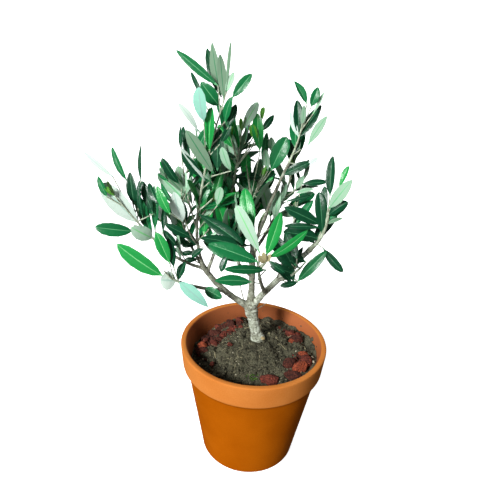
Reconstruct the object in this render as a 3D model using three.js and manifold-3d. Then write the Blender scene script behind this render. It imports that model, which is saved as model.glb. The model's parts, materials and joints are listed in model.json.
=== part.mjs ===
// A young olive trained as a small tree, growing in a terracotta pot.
// Millimetres, +Z up. The origin is the centre of the pot's flat underside, and -Y faces the viewer.
import * as THREE from 'three';
import { mergeVertices } from 'three/addons/utils/BufferGeometryUtils.js';
import Module from 'manifold-3d';

const wasm = await Module();
wasm.setup();

// Sizes of the pot and of the soil that fills it
const GAP = 0.3;
const FUSE_TOLERANCE = 0.05;
const POT = {
  height: 125, rimRadius: 70, collarHeight: 23, collarFootRadius: 68, bodyTopRadius: 63.3, baseRadius: 47,
  wall: 6.6, floor: 9, innerFootRadius: 41.4, lip: 2.4, undercut: 4.5, collarEdge: 1.2, footChamfer: 2,
  sides: 44,
};
const SOIL = {
  wallHeight: 109, rightRise: 4, moundHeight: 119.7, moundSpread: 34, flatRadius: 9,
  lumps: 1.2, lumpLength: 42, sides: 34, rings: 6,
};

// Red lava chips that lie in drifts on the soil, each drift between two headings round the pot
const CHIP_DRIFTS = [
  { from: 108, to: 194, count: 7, radius: 51, size: 4.8 },
  { from: 122, to: 176, count: 3, radius: 39, size: 3.8 },
  { from: 24, to: 52, count: 2, radius: 48, size: 5.2 },
  { from: 318, to: 362, count: 3, radius: 51, size: 5.2 },
  { from: 332, to: 352, count: 1, radius: 38, size: 4.6 },
  { from: 292, to: 296, count: 1, radius: 42, size: 5.6 },
];
const CHIP = {
  long: 1.15, wide: 0.8, high: 0.66, least: 0.8, most: 1.1, raised: 0.2, scatter: 3, tilt: 0.7, socket: 1.1,
};

// The trunk, from its flat cut at ground level to its fork
const TRUNK = {
  foot: new THREE.Vector3(4, 8, 120), heading: 180, rise: 74, lift: 6, length: 41,
  footRadius: 5.2, forkRadius: 5.0, rootFlare: 1.7, flareHeight: 6, sides: 10, step: 4,
};

// Limbs leave a point part of the way ("at") along their parent. Headings run anticlockwise from +X, rises
// are above the level, and turn and lift are how far those two angles change from a limb's foot to its tip.
const LIMB = { footShare: 0.64, tipShare: 0.74, sides: 6, step: 12 };
const BOUGHS = [
  { name: 'centre', from: 'trunk', at: 1, heading: 92, turn: 38, rise: 85, lift: -1, length: 72.5 },
  { name: 'left', from: 'trunk', at: 0.9, heading: 187, turn: 9, rise: 28.5, lift: 31.5, length: 65.5 },
  { name: 'right', from: 'trunk', at: 0.93, heading: 346, turn: 24, rise: 57, lift: -9, length: 80.5 },
  { name: 'low_left', from: 'left', at: 0.5, heading: 214, rise: 16, lift: 14, length: 48 },
  { name: 'far_left', from: 'left', at: 0.96, heading: 196, rise: 18, lift: 32, length: 52 },
  { name: 'left_back', from: 'left', at: 0.8, heading: 140, rise: 24, lift: 26, length: 34 },
  { name: 'top', from: 'left', at: 1, heading: 210, turn: 110, rise: 72, lift: 8, length: 68 },
  { name: 'centre_top', from: 'left', at: 0.9, heading: 52, turn: -10, rise: 60, lift: 20, length: 84 },
  { name: 'upper_left', from: 'top', at: 0.62, heading: 136, turn: 10, rise: 58, lift: 14, length: 24 },
  { name: 'left_front', from: 'top', at: 0.36, heading: 250, turn: -10, rise: 40, lift: 24, length: 24 },
  { name: 'low_centre', from: 'centre', at: 0.4, heading: 218, turn: 10, rise: 36, lift: 20, length: 24 },
  { name: 'right_top', from: 'centre', at: 0.72, heading: 16, rise: 77, lift: -10, length: 88 },
  { name: 'front', from: 'right', at: 0.28, heading: 262, rise: 34, lift: 12, length: 58 },
  { name: 'right_inner', from: 'right', at: 0.52, heading: 76, turn: -30, rise: 58, lift: 16, length: 30 },
  { name: 'right_low', from: 'right', at: 0.5, heading: 312, turn: 14, rise: 26, lift: 20, length: 18 },
  { name: 'back_left', from: 'centre', at: 0.55, heading: 134, rise: 36, lift: 16, length: 58 },
  { name: 'back_right', from: 'centre', at: 0.7, heading: 54, rise: 34, lift: 18, length: 52 },
  { name: 'back', from: 'centre', at: 0.25, heading: 94, rise: 30, lift: 20, length: 54 },
  { name: 'back_top', from: 'centre_top', at: 0.6, heading: 92, rise: 42, lift: 20, length: 32 },
];

// Each mass of foliage grows on from the tip of its bough: pairs of leaves along one stem, and side twigs
const MASSES = [
  { bough: 'top', turn: 60, lift: -6, length: 92, pairs: 8, twigs: 3, phase: 35, leaf: 1 },
  { bough: 'low_left', lift: 30, length: 22, pairs: 4, twigs: 1, phase: 105, leaf: 1.1 },
  { bough: 'far_left', lift: 6, length: 54, pairs: 5, twigs: 2, phase: 35, leaf: 1.1 },
  { bough: 'left_back', lift: 24, length: 40, pairs: 4, twigs: 2, phase: 10, leaf: 0.9 },
  { bough: 'upper_left', lift: 14, length: 46, pairs: 4, twigs: 2, phase: 15, leaf: 1 },
  { bough: 'left_front', lift: 26, length: 40, pairs: 4, twigs: 2, phase: 45, leaf: 0.95 },
  { bough: 'front', lift: 26, length: 30, pairs: 5, twigs: 1, phase: 170, leaf: 1.05 },
  { bough: 'low_centre', lift: 20, length: 34, pairs: 4, twigs: 2, phase: 105, leaf: 0.95 },
  { bough: 'centre', turn: 40, lift: -8, length: 60, pairs: 5, twigs: 2, phase: 15, leaf: 0.9 },
  { bough: 'centre_top', lift: 4, length: 46, pairs: 5, twigs: 2, phase: 70, leaf: 0.9 },
  { bough: 'right_top', lift: 20, length: 42, pairs: 5, twigs: 2, phase: 75, leaf: 0.8 },
  { bough: 'right_inner', lift: 10, length: 42, pairs: 4, twigs: 2, phase: 0, leaf: 0.9 },
  { bough: 'right', turn: -60, lift: 50, length: 44, pairs: 5, twigs: 2, phase: 95, leaf: 0.84 },
  { bough: 'right_low', lift: 16, length: 22, pairs: 3, twigs: 1, phase: 140, leaf: 0.9 },
  { bough: 'back_left', lift: 24, length: 48, pairs: 5, twigs: 2, phase: 25, leaf: 1 },
  { bough: 'back_right', lift: 28, length: 48, pairs: 5, twigs: 2, phase: 65, leaf: 1 },
  { bough: 'back', lift: 26, length: 46, pairs: 5, twigs: 2, phase: 40, leaf: 1 },
  { bough: 'back_top', lift: 20, length: 46, pairs: 5, twigs: 2, phase: 5, leaf: 1 },
];
const STEM = {
  sides: 3, tipRadius: 0.55, step: 14, firstPair: 0.1, lastPair: 0.98,
  leafAtEnds: 0.72, leafSwell: 0.4, swellFrom: 0.15, swellTo: 0.85,
};
const TWIG = {
  length: 24, spread: 42, lift: 0.3, steepest: 80, pairs: 2, radius: 0.85, leafShare: 0.86,
  first: 0.2, last: 0.72, most: 2, start: 45, turn: 137, leafTurn: 60,
};
const LEAF = {
  length: 40, width: 0.23, thickness: 0.8, stalk: 0.1, stalkWidth: 1.5, fold: 0.16, lift: 0.28,
  baseSpread: 56, tipSpread: 22, bendOut: -0.16, bendIn: 0.1, roll: 70, least: 0.82, most: 1.18,
  swing: 40, swingMore: 25, nod: 20, nodMore: 10,
  tries: 8, spots: [0.3, 0.45, 0.6, 0.75, 0.9, 1], clearance: 0.8, ownShare: 0.55, lowest: 140,
};

// Where each kind of piece starts in the streams of repeatable numbers
const SEED = { chips: 900, mass: 1000, twigs: 40, twig: 20, tries: 16 };

const radians = THREE.MathUtils.degToRad;
const mix = THREE.MathUtils.lerp;

// The unit vector of a heading and a rise, in degrees
function aim(heading, rise) {
  const level = Math.cos(radians(rise));
  return new THREE.Vector3(
    level * Math.cos(radians(heading)), level * Math.sin(radians(heading)), Math.sin(radians(rise)),
  );
}

// One direction turned towards another that is square to it, by an angle in degrees
function turnedFrom(direction, towards, angle) {
  const kept = direction.clone().multiplyScalar(Math.cos(radians(angle)));
  return kept.addScaledVector(towards, Math.sin(radians(angle)));
}

// A repeatable stream of numbers from 0 to 1
function seeded(seed) {
  let state = seed >>> 0;
  return () => {
    state = (state + 0x6d2b79f5) >>> 0;
    let t = Math.imul(state ^ (state >>> 15), state | 1);
    t ^= t + Math.imul(t ^ (t >>> 7), t | 61);
    return ((t ^ (t >>> 14)) >>> 0) / 4294967296;
  };
}

// The closed solid of a geometry, and the geometry of a solid
function solidOf(geometry) {
  const bare = geometry.clone();
  bare.deleteAttribute('normal');
  bare.deleteAttribute('uv');
  const merged = mergeVertices(bare, 1e-4);
  return new wasm.Manifold(new wasm.Mesh({
    numProp: 3,
    vertProperties: merged.attributes.position.array,
    triVerts: new Uint32Array(merged.index.array),
  }));
}

function geometryOf(solid) {
  const mesh = solid.getMesh();
  const geometry = new THREE.BufferGeometry();
  geometry.setAttribute('position', new THREE.BufferAttribute(mesh.vertProperties, 3));
  geometry.setIndex(new THREE.BufferAttribute(mesh.triVerts, 1));
  return geometry;
}

function largestBody(solid) {
  return solid.decompose().reduce((best, body) => (body.volume() > best.volume() ? body : best));
}

// Moves every vertex of a geometry to the place that a function gives for it
function reshape(geometry, place) {
  const position = geometry.attributes.position;
  const vertex = new THREE.Vector3();
  for (let i = 0; i < position.count; i++) {
    vertex.fromBufferAttribute(position, i);
    place(vertex);
    position.setXYZ(i, vertex.x, vertex.y, vertex.z);
  }
  return geometry;
}

// A limb: its centre line from foot to tip, the direction at each point, and its radius along the way
class Limb {
  constructor(name, foot, { heading, turn = 0, rise, lift = 0, length }, footRadius, tipRadius, step) {
    Object.assign(this, { name, heading, turn, rise, lift, length, footRadius, tipRadius });
    this.steps = Math.max(2, Math.ceil(length / step));
    this.points = [foot.clone()];
    for (let i = 0; i < this.steps; i++) {
      const reach = this.directionAt((i + 0.5) / this.steps).multiplyScalar(length / this.steps);
      this.points.push(this.points[i].clone().add(reach));
    }
  }

  directionAt(t) {
    return aim(this.heading + this.turn * t, this.rise + this.lift * t);
  }

  // A level direction across the limb
  sideAt(t) {
    return aim(this.heading + this.turn * t + 90, 0);
  }

  pointAt(t) {
    const place = Math.min(t * this.steps, this.steps - 1e-6);
    const i = Math.floor(place);
    return this.points[i].clone().lerp(this.points[i + 1], place - i);
  }

  radiusAt(t) {
    return mix(this.footRadius, this.tipRadius, t);
  }

  // Where a limb that grows on from this one's tip begins, a gap beyond it
  get beyondTip() {
    return this.points[this.steps].clone().addScaledVector(this.directionAt(1), GAP);
  }

  // Round spots along the limb, for telling what lies too near to it
  get spots() {
    const count = this.steps * 2;
    return Array.from({ length: count + 1 }, (_, i) => ({
      point: this.pointAt(i / count), radius: this.radiusAt(i / count), owner: this.name,
    }));
  }

  // A tapering tube round the centre line, thicker all round and at both ends by the amount grown
  geometry(sides, grown = 0) {
    const tube = new THREE.CylinderGeometry(1, 1, 1, sides, this.steps);
    return reshape(tube, (vertex) => {
      const t = THREE.MathUtils.clamp(vertex.y + 0.5, 0, 1);
      const along = this.directionAt(t);
      const side = this.sideAt(t);
      const across = side.clone().cross(along);
      const radius = this.radiusAt(t) + grown;
      const { x, z } = vertex;
      vertex.copy(this.pointAt(t)).addScaledVector(side, x * radius).addScaledVector(across, z * radius);
      if (t === 1) vertex.addScaledVector(along, grown);
      if (t === 0) vertex.addScaledVector(along, -grown);
      if (this.levelFoot && t === 0) vertex.z = this.points[0].z;
    });
  }
}

class Trunk extends Limb {
  constructor() {
    super('trunk', TRUNK.foot, TRUNK, TRUNK.footRadius, TRUNK.forkRadius, TRUNK.step);
    this.levelFoot = true;
  }

  // The taper, with the flare of the roots just above the ground
  radiusAt(t) {
    const upFlare = (t * TRUNK.length) / TRUNK.flareHeight;
    return super.radiusAt(t) + TRUNK.rootFlare * Math.exp(-upFlare * upFlare);
  }
}

// The trunk and the boughs, each foot placed on its parent
const limbs = new Map([['trunk', new Trunk()]]);
for (const bough of BOUGHS) {
  const parent = limbs.get(bough.from);
  const foot = bough.at === 1 ? parent.beyondTip : parent.pointAt(bough.at);
  const footRadius = parent.radiusAt(bough.at) * LIMB.footShare;
  const tipRadius = footRadius * LIMB.tipShare;
  limbs.set(bough.name, new Limb(`${bough.name}_bough`, foot, bough, footRadius, tipRadius, LIMB.step));
}

// The stem of each mass goes on in the direction of its bough's tip
const stems = MASSES.map(({ bough, turn, lift, length }) => {
  const limb = limbs.get(bough);
  const shape = { heading: limb.heading + limb.turn, turn, rise: limb.rise + limb.lift, lift, length };
  return new Limb(`${bough}_foliage`, limb.beyondTip, shape, limb.tipRadius, STEM.tipRadius, STEM.step);
});

// A leaf's half width at a share t of its length: a narrow stalk, then a blade that is widest near its middle
function leafHalfWidth(leaf, t) {
  const s = THREE.MathUtils.clamp((t - LEAF.stalk) / (1 - LEAF.stalk), 0, 1);
  const blade = LEAF.width * leaf.length * (4 * s * (1 - s)) ** 0.75;
  return Math.max(LEAF.stalkWidth * (1 - t), blade) / 2;
}

// The middle of the blade at a share t of the leaf's length
function leafMiddle(leaf, t) {
  return leaf.root.clone()
    .addScaledVector(leaf.along, leaf.length * t)
    .addScaledVector(leaf.upper, leaf.length * leaf.bend * t * t);
}

// A four-sided sphere drawn out and flattened into a folded blade
function leafGeometry(leaf) {
  const side = leaf.along.clone().cross(leaf.upper);
  return reshape(new THREE.SphereGeometry(1, 4, 3), (vertex) => {
    const t = (vertex.y + 1) / 2;
    const across = Math.abs(vertex.x) > 0.1 ? Math.sign(vertex.x) : 0;
    const through = Math.abs(vertex.z) > 0.1 ? Math.sign(vertex.z) : 0;
    const width = leafHalfWidth(leaf, t);
    const raised = (through * LEAF.thickness) / 2 + Math.abs(across) * width * LEAF.fold;
    vertex.copy(leafMiddle(leaf, t));
    vertex.addScaledVector(side, across * width).addScaledVector(leaf.upper, raised);
  });
}

function leafSpots(leaf) {
  return LEAF.spots.map((t) => ({
    point: leafMiddle(leaf, t), radius: leafHalfWidth(leaf, t), owner: leaf.owner, outer: t > 0.5,
  }));
}

// Everything that a new twig or leaf has to stay clear of, in its own mass only the outer halves of leaves
const taken = [...limbs.values(), ...stems].flatMap((limb) => limb.spots);

function isClear(spots) {
  const apart = (spot, other) => {
    const distance = spot.point.distanceTo(other.point);
    if (other.owner !== spot.owner) return distance > spot.radius + other.radius + LEAF.clearance;
    return !(spot.outer && other.outer) || distance > LEAF.ownShare * (spot.radius + other.radius);
  };
  return spots.every((spot) => (
    spot.point.z - spot.radius > LEAF.lowest && taken.every((other) => apart(spot, other))
  ));
}

// One leaf of a pair, turned further and tried again where it would touch another mass or a limb
function growLeaf(shoot, t, around, size, seed) {
  const stemwards = shoot.directionAt(t);
  const side = shoot.sideAt(t);
  const across = side.clone().cross(stemwards);
  for (let attempt = 0; attempt < LEAF.tries; attempt++) {
    const draw = seeded(seed * SEED.tries + attempt);
    const angle = around + (draw() - 0.5) * (LEAF.swing + LEAF.swingMore * attempt);
    const nod = (draw() - 0.5) * (LEAF.nod + LEAF.nodMore * attempt);
    const spread = mix(LEAF.baseSpread, LEAF.tipSpread, t) + nod;
    const along = turnedFrom(stemwards, turnedFrom(side, across, angle), spread);
    along.z += LEAF.lift;
    along.normalize();
    const upper = stemwards.clone().addScaledVector(along, -stemwards.dot(along)).normalize();
    upper.applyAxisAngle(along, radians((draw() - 0.5) * LEAF.roll));
    const length = LEAF.length * size * mix(LEAF.least, LEAF.most, draw());
    const bend = mix(LEAF.bendOut, LEAF.bendIn, draw());
    const leaf = { owner: shoot.name, root: shoot.pointAt(t), along, upper, length, bend };
    const spots = leafSpots(leaf);
    if (isClear(spots)) {
      taken.push(...spots);
      return leaf;
    }
  }
  return null;
}

// Opposite pairs of leaves, each pair square to the one before, smaller towards the foot and the tip
function growPairs(shoot, pairs, phase, size, seed) {
  const leaves = [];
  for (let pair = 0; pair < pairs; pair++) {
    const t = mix(STEM.firstPair, STEM.lastPair, pair / (pairs - 1));
    const swell = Math.sin(Math.PI * mix(STEM.swellFrom, STEM.swellTo, t));
    const full = size * (STEM.leafAtEnds + STEM.leafSwell * swell);
    leaves.push(growLeaf(shoot, t, phase + 90 * pair, full, seed + 2 * pair));
    leaves.push(growLeaf(shoot, t, phase + 90 * pair + 180, full, seed + 2 * pair + 1));
  }
  return leaves.filter(Boolean);
}

// A side twig in the angle between a leaf and the stem
function growTwig(stem, t, around) {
  const stemwards = stem.directionAt(t);
  const side = stem.sideAt(t);
  const outward = turnedFrom(side, side.clone().cross(stemwards), around);
  const along = turnedFrom(stemwards, outward, TWIG.spread);
  const heading = THREE.MathUtils.radToDeg(Math.atan2(along.y, along.x));
  const rise = THREE.MathUtils.radToDeg(Math.asin(along.z));
  const shape = { heading, rise, lift: (TWIG.steepest - rise) * TWIG.lift, length: TWIG.length };
  return new Limb(stem.name, stem.pointAt(t), shape, TWIG.radius, STEM.tipRadius, STEM.step);
}

// A mass: the stem with its leaves, and the side twigs that have room with theirs
function massSolid(stem, { pairs, twigs, phase, leaf }, seed) {
  const shoots = [stem];
  const leaves = growPairs(stem, pairs, phase, leaf, seed);
  for (let i = 0; i < twigs; i++) {
    const place = mix(TWIG.first, TWIG.last, i / TWIG.most);
    const twig = growTwig(stem, place, phase + TWIG.start + TWIG.turn * i);
    if (!isClear(twig.spots)) continue;
    taken.push(...twig.spots);
    shoots.push(twig);
    const twigSeed = seed + SEED.twigs + SEED.twig * i;
    leaves.push(...growPairs(twig, TWIG.pairs, phase + TWIG.leafTurn * i, leaf * TWIG.leafShare, twigSeed));
  }
  const solids = [
    ...shoots.map((shoot) => solidOf(shoot.geometry(STEM.sides))),
    ...leaves.map((blade) => solidOf(leafGeometry(blade))),
  ];
  return largestBody(wasm.Manifold.union(solids)).simplify(FUSE_TOLERANCE);
}

// The pot in section, from the middle of its underside round the outside to the middle of its floor
function potProfile() {
  const { height, rimRadius, lip, footChamfer, baseRadius, collarFootRadius, collarEdge, floor } = POT;
  const collarFoot = height - POT.collarHeight;
  const innerRim = rimRadius - POT.wall;
  const round = (centreX, centreZ, fromDeg, toDeg, radius) => Array.from({ length: 3 }, (_, i) => {
    const angle = radians(mix(fromDeg, toDeg, i / 2));
    return [centreX + radius * Math.cos(angle), centreZ + radius * Math.sin(angle)];
  });
  return [
    [0, 0], [baseRadius - footChamfer, 0], [baseRadius, footChamfer],
    [POT.bodyTopRadius, collarFoot - POT.undercut],
    [collarFootRadius - collarEdge, collarFoot - collarEdge / 2], [collarFootRadius, collarFoot + collarEdge],
    ...round(rimRadius - lip, height - lip, 0, 90, lip),
    ...round(innerRim + lip, height - lip, 90, 180, lip),
    [POT.innerFootRadius, floor], [0, floor],
  ].map(([x, z]) => new THREE.Vector2(x, z));
}

// A profile turned round the upright axis
function turned(profile, sides) {
  return new THREE.LatheGeometry(profile, sides).rotateX(Math.PI / 2);
}

function potInnerRadius(z) {
  const share = (z - POT.floor) / (POT.height - POT.lip - POT.floor);
  return mix(POT.innerFootRadius, POT.rimRadius - POT.wall, share);
}

// The soil stands up in a mound round the trunk, falls away to the wall and is lumpy
function soilHeight(x, y) {
  const fromTrunk = Math.hypot(x - TRUNK.foot.x, y - TRUNK.foot.y);
  const beyond = Math.max(0, fromTrunk - SOIL.flatRadius);
  const edge = SOIL.wallHeight + (SOIL.rightRise * x) / POT.rimRadius;
  const wave = (2 * Math.PI) / SOIL.lumpLength;
  const lumps = SOIL.lumps * Math.sin(x * wave + 1) * Math.cos(y * wave);
  const mound = mix(edge, SOIL.moundHeight, Math.exp(-((beyond / SOIL.moundSpread) ** 2)));
  return mound + lumps * Math.min(1, beyond / SOIL.flatRadius);
}

function soilGeometry() {
  const floor = POT.floor + GAP;
  const rim = potInnerRadius(SOIL.wallHeight - SOIL.rightRise) - 2 * GAP;
  const rings = Array.from({ length: SOIL.rings }, (_, i) => [rim * (1 - i / SOIL.rings), SOIL.wallHeight]);
  const profile = [[0, floor], [potInnerRadius(floor) - 2 * GAP, floor], ...rings, [0, SOIL.wallHeight]];
  const soil = turned(profile.map(([x, z]) => new THREE.Vector2(x, z)), SOIL.sides);
  // The rings on top draw in from the wall to a level ring round the trunk
  return reshape(soil, (vertex) => {
    if (vertex.z < SOIL.wallHeight - 1) return;
    const reach = Math.hypot(vertex.x, vertex.y);
    const share = THREE.MathUtils.clamp((reach / rim - 1 / SOIL.rings) / (1 - 1 / SOIL.rings), 0, 1);
    const stretch = reach > 1 ? mix(SOIL.flatRadius, rim, share) / reach : 0;
    vertex.x = vertex.x * stretch + TRUNK.foot.x * (1 - share);
    vertex.y = vertex.y * stretch + TRUNK.foot.y * (1 - share);
    vertex.z = soilHeight(vertex.x, vertex.y);
  });
}

// A chip is a rough twenty-sided stone, half sunk in the soil, in a socket a little larger than itself
function chipStones() {
  const stones = [];
  for (const { from, to, count, radius, size } of CHIP_DRIFTS) {
    for (let i = 0; i < count; i++) {
      const draw = seeded(SEED.chips + stones.length);
      const heading = radians(mix(from, to, i / count));
      const reach = radius + (draw() - 0.5) * CHIP.scatter;
      const breadth = size * mix(CHIP.least, CHIP.most, draw());
      const x = reach * Math.cos(heading);
      const y = reach * Math.sin(heading);
      const stone = new THREE.IcosahedronGeometry(1, 0);
      stone.scale(breadth * CHIP.long, breadth * CHIP.wide, breadth * CHIP.high);
      stone.rotateZ(draw() * Math.PI).rotateX((draw() - 0.5) * CHIP.tilt);
      const socket = stone.clone().scale(CHIP.socket, CHIP.socket, CHIP.socket);
      const z = soilHeight(x, y) + breadth * CHIP.raised;
      stones.push({ stone: stone.translate(x, y, z), socket: socket.translate(x, y, z) });
    }
  }
  return stones;
}

const terracotta = { color: '#c8692a', roughness: 0.7, metalness: 0 };
const pottingSoil = { color: '#4b463a', roughness: 1, metalness: 0 };
const lava = { color: '#7d3b2d', roughness: 0.95, metalness: 0 };
const bark = { color: '#8d8873', roughness: 0.85, metalness: 0 };
const oliveLeaf = { color: '#2f7a48', roughness: 0.5, metalness: 0 };

const olive = new THREE.Group();
olive.name = 'potted_olive';

function addPiece(name, solid, finish) {
  const mesh = new THREE.Mesh(geometryOf(solid), new THREE.MeshStandardMaterial(finish));
  mesh.name = name;
  olive.add(mesh);
}

addPiece('pot', solidOf(turned(potProfile(), POT.sides)), terracotta);

const chips = chipStones();
const soilSolid = chips.reduce((soil, { socket }) => soil.subtract(solidOf(socket)), solidOf(soilGeometry()));
addPiece('soil', largestBody(soilSolid), pottingSoil);
chips.forEach(({ stone }, i) => addPiece(`lava_chip_${i + 1}`, solidOf(stone), lava));

// Each limb's foot is cut clear of the limbs that were there before it
const grownLimbs = [];
for (const limb of limbs.values()) {
  const sides = limb.name === 'trunk' ? TRUNK.sides : LIMB.sides;
  const whole = solidOf(limb.geometry(sides));
  addPiece(limb.name, largestBody(grownLimbs.reduce((rest, other) => rest.subtract(other), whole)), bark);
  grownLimbs.push(solidOf(limb.geometry(sides, GAP)));
}

stems.forEach((stem, i) => {
  addPiece(stem.name, massSolid(stem, MASSES[i], SEED.mass * (i + 1)), oliveLeaf);
});

export default olive;
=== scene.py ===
# A young olive grown as a small tree: fired clay, soil, bark, twigs and leaves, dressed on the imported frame
import json
import math

import bpy
import numpy as np
from mathutils import Matrix

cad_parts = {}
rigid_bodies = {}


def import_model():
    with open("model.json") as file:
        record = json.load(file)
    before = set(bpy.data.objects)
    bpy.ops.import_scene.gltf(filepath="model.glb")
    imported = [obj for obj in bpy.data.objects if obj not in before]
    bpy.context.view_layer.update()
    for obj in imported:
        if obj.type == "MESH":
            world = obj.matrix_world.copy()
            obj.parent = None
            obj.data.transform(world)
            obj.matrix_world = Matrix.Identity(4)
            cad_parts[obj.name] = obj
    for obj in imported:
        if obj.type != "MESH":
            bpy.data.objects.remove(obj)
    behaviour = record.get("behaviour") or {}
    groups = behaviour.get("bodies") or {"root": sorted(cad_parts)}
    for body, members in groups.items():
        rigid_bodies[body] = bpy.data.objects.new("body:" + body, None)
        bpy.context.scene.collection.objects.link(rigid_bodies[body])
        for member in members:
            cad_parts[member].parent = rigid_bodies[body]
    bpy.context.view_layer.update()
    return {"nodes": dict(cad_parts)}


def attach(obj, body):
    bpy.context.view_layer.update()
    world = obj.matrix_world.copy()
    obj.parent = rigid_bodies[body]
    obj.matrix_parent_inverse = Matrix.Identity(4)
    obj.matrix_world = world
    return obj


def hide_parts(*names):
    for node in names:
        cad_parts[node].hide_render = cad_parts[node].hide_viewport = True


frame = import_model()
scene = bpy.context.scene
millimetre = 0.001  # lengths below are in millimetres, in the frame's axes
print("frame:", len(frame["nodes"]), "nodes")


# Numbers, noise and meshes

def tint(red, green, blue):
    # a colour as a screen shows it, 0 to 255, turned into light for a shader
    shares = np.array([red, green, blue]) / 255
    light = np.where(shares <= 0.04045, shares / 12.92, ((shares + 0.055) / 1.055) ** 2.4)
    return (*light.tolist(), 1.0)


def mix(low, high, share):
    return low + (high - low) * share


def unit(vectors):
    return vectors / np.linalg.norm(vectors, axis=-1, keepdims=True)


def smoothStep(low, high, values):
    share = np.clip((values - low) / (high - low), 0, 1)
    return share * share * (3 - 2 * share)


def seeded(seed):
    # a repeatable stream of numbers from 0 to 1, the same as the one that the solids were grown by
    word = 0xFFFFFFFF
    state = seed & word
    while True:
        state = (state + 0x6D2B79F5) & word
        mixed = ((state ^ (state >> 15)) * (state | 1)) & word
        mixed ^= (mixed + (((mixed ^ (mixed >> 7)) * (mixed | 61)) & word)) & word
        yield (mixed ^ (mixed >> 14)) / (word + 1)


def cellValues(cells, seed):
    # a repeatable number from -1 to 1 for each cell of a lattice
    mixed = (cells * np.array([73856093, 19349663, 83492791])).sum(-1) + seed * 97531
    mixed = ((mixed ^ (mixed >> 13)) * 1274126177) & 0xFFFFFFFF
    return ((mixed ^ (mixed >> 16)) & 0xFFFF) / 32767.5 - 1


def cloud(points, cell, seed):
    # smooth noise: the numbers at the eight corners of a point's cell, blended by smooth steps
    places = np.asarray(points) / cell
    low = np.floor(places).astype(np.int64)
    share = places - low
    share = share * share * (3 - 2 * share)
    total = np.zeros(places.shape[:-1])
    for corner in np.ndindex(2, 2, 2):
        weight = np.prod(np.where(np.array(corner) == 1, share, 1 - share), -1)
        total += weight * cellValues(low + np.array(corner), seed)
    return total


def gathered(rows, *keys):
    # the values that rows of named values have for each key, as arrays
    return [np.array([row[key] for row in rows]) for key in keys]


def gridQuads(rows, columns, closed=True):
    # four-sided faces between neighbouring rows and columns; closed joins the last column to the first
    row, column = np.meshgrid(np.arange(rows - 1), np.arange(columns - (not closed)), indexing="ij")
    beside = (column + 1) % columns
    corners = [row * columns + column, row * columns + beside,
               (row + 1) * columns + beside, (row + 1) * columns + column]
    return np.stack(corners, -1).reshape(-1, 4)


def tubeFaces(rows, columns):
    # the faces of a tube of rings, closed by a flat face at each end
    lastRing = (rows - 1) * columns + np.arange(columns)
    return [gridQuads(rows, columns), np.arange(columns)[::-1][None], lastRing[None]]


def joined(parts):
    # several (points, faces) as one, each part's faces counted on from the points before it
    points, faces, start = [], [], 0
    for partPoints, partFaces in parts:
        points.append(partPoints.reshape(-1, 3))
        faces.extend(face + start for face in partFaces)
        start += len(points[-1])
    return np.concatenate(points), faces


def copiesOf(faces, count, size):
    # the faces of one shape, repeated for count shapes of size points each
    steps = np.arange(count)[:, None, None] * size
    return [(face[None] + steps).reshape(-1, face.shape[1]) for face in faces]


def addObject(name, data):
    thing = bpy.data.objects.new(name, data)
    scene.collection.objects.link(thing)
    return thing


def addMesh(name, points, faces, materials, faceSlots=None, smooth=True):
    # a mesh from whole arrays
    mesh = bpy.data.meshes.new(name)
    corners = np.concatenate([face.ravel() for face in faces]).astype(np.int32)
    counts = np.concatenate([np.full(len(face), face.shape[1]) for face in faces])
    mesh.vertices.add(len(points))
    mesh.vertices.foreach_set("co", (points * millimetre).astype(np.float32).ravel())
    mesh.loops.add(len(corners))
    mesh.loops.foreach_set("vertex_index", corners)
    mesh.polygons.add(len(counts))
    mesh.polygons.foreach_set("loop_start", (np.cumsum(counts) - counts).astype(np.int32))
    for material in materials:
        mesh.materials.append(material)
    if faceSlots is not None:
        mesh.polygons.foreach_set("material_index", np.asarray(faceSlots, np.int32))
    mesh.polygons.foreach_set("use_smooth", np.full(len(counts), smooth))
    mesh.update(calc_edges=True)
    mesh.validate()
    return addObject(name, mesh)


def makePiece(name, points, faces, materials, nodes=(), faceSlots=None, smooth=True):
    # a mesh that rides on the plant's one body
    piece = addMesh(name, points, faces, materials, faceSlots, smooth)
    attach(piece, "root")
    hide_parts(*nodes)
    print(name + ":", len(points), "points,", sum(map(len, faces)), "faces")
    return piece


def makeCopies(name, shapes, faces, kinds, materials, nodes=(), smooth=True):
    # many shapes that share their faces, as one piece; a shape's kind says which of the materials it has
    count, size = shapes.shape[:2]
    copies = copiesOf(faces, count, size)
    faceSlots = np.concatenate([np.repeat(kinds, len(face) // count) for face in copies])
    makePiece(name, shapes.reshape(-1, 3), copies, materials, nodes, faceSlots, smooth)


def writeVectors(piece, name, vectors):
    # a vector for each point, which a material reads by name
    attribute = piece.data.attributes.new(name, "FLOAT_VECTOR", "POINT")
    attribute.data.foreach_set("vector", vectors.astype(np.float32).ravel())


# Shader nodes

def setInputs(tree, node, inputs):
    # each input set to a value or joined to another socket
    for key, value in dict(inputs).items():
        if isinstance(value, bpy.types.NodeSocket):
            tree.links.new(value, node.inputs[key])
        else:
            node.inputs[key].default_value = value


def addNode(tree, kind, inputs=(), **settings):
    node = tree.nodes.new("ShaderNode" + kind)
    for key, value in settings.items():
        setattr(node, key, value)
    setInputs(tree, node, inputs)
    return node


def useGroup(tree, group, inputs):
    return addNode(tree, "Group", inputs, node_tree=group).outputs


def combined(tree, operation, *values):
    # a sum, a product or the like of values or sockets
    return addNode(tree, "Math", enumerate(values), operation=operation).outputs[0]


def noise(tree, place, scale, detail):
    # smooth noise from 0 to 1, with scale waves to each unit of the place
    return addNode(tree, "TexNoise", {"Vector": place, "Scale": scale, "Detail": detail}).outputs["Fac"]


def stretched(tree, place, shares):
    return addNode(tree, "VectorMath", {0: place, 1: shares}, operation="MULTIPLY").outputs[0]


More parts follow.
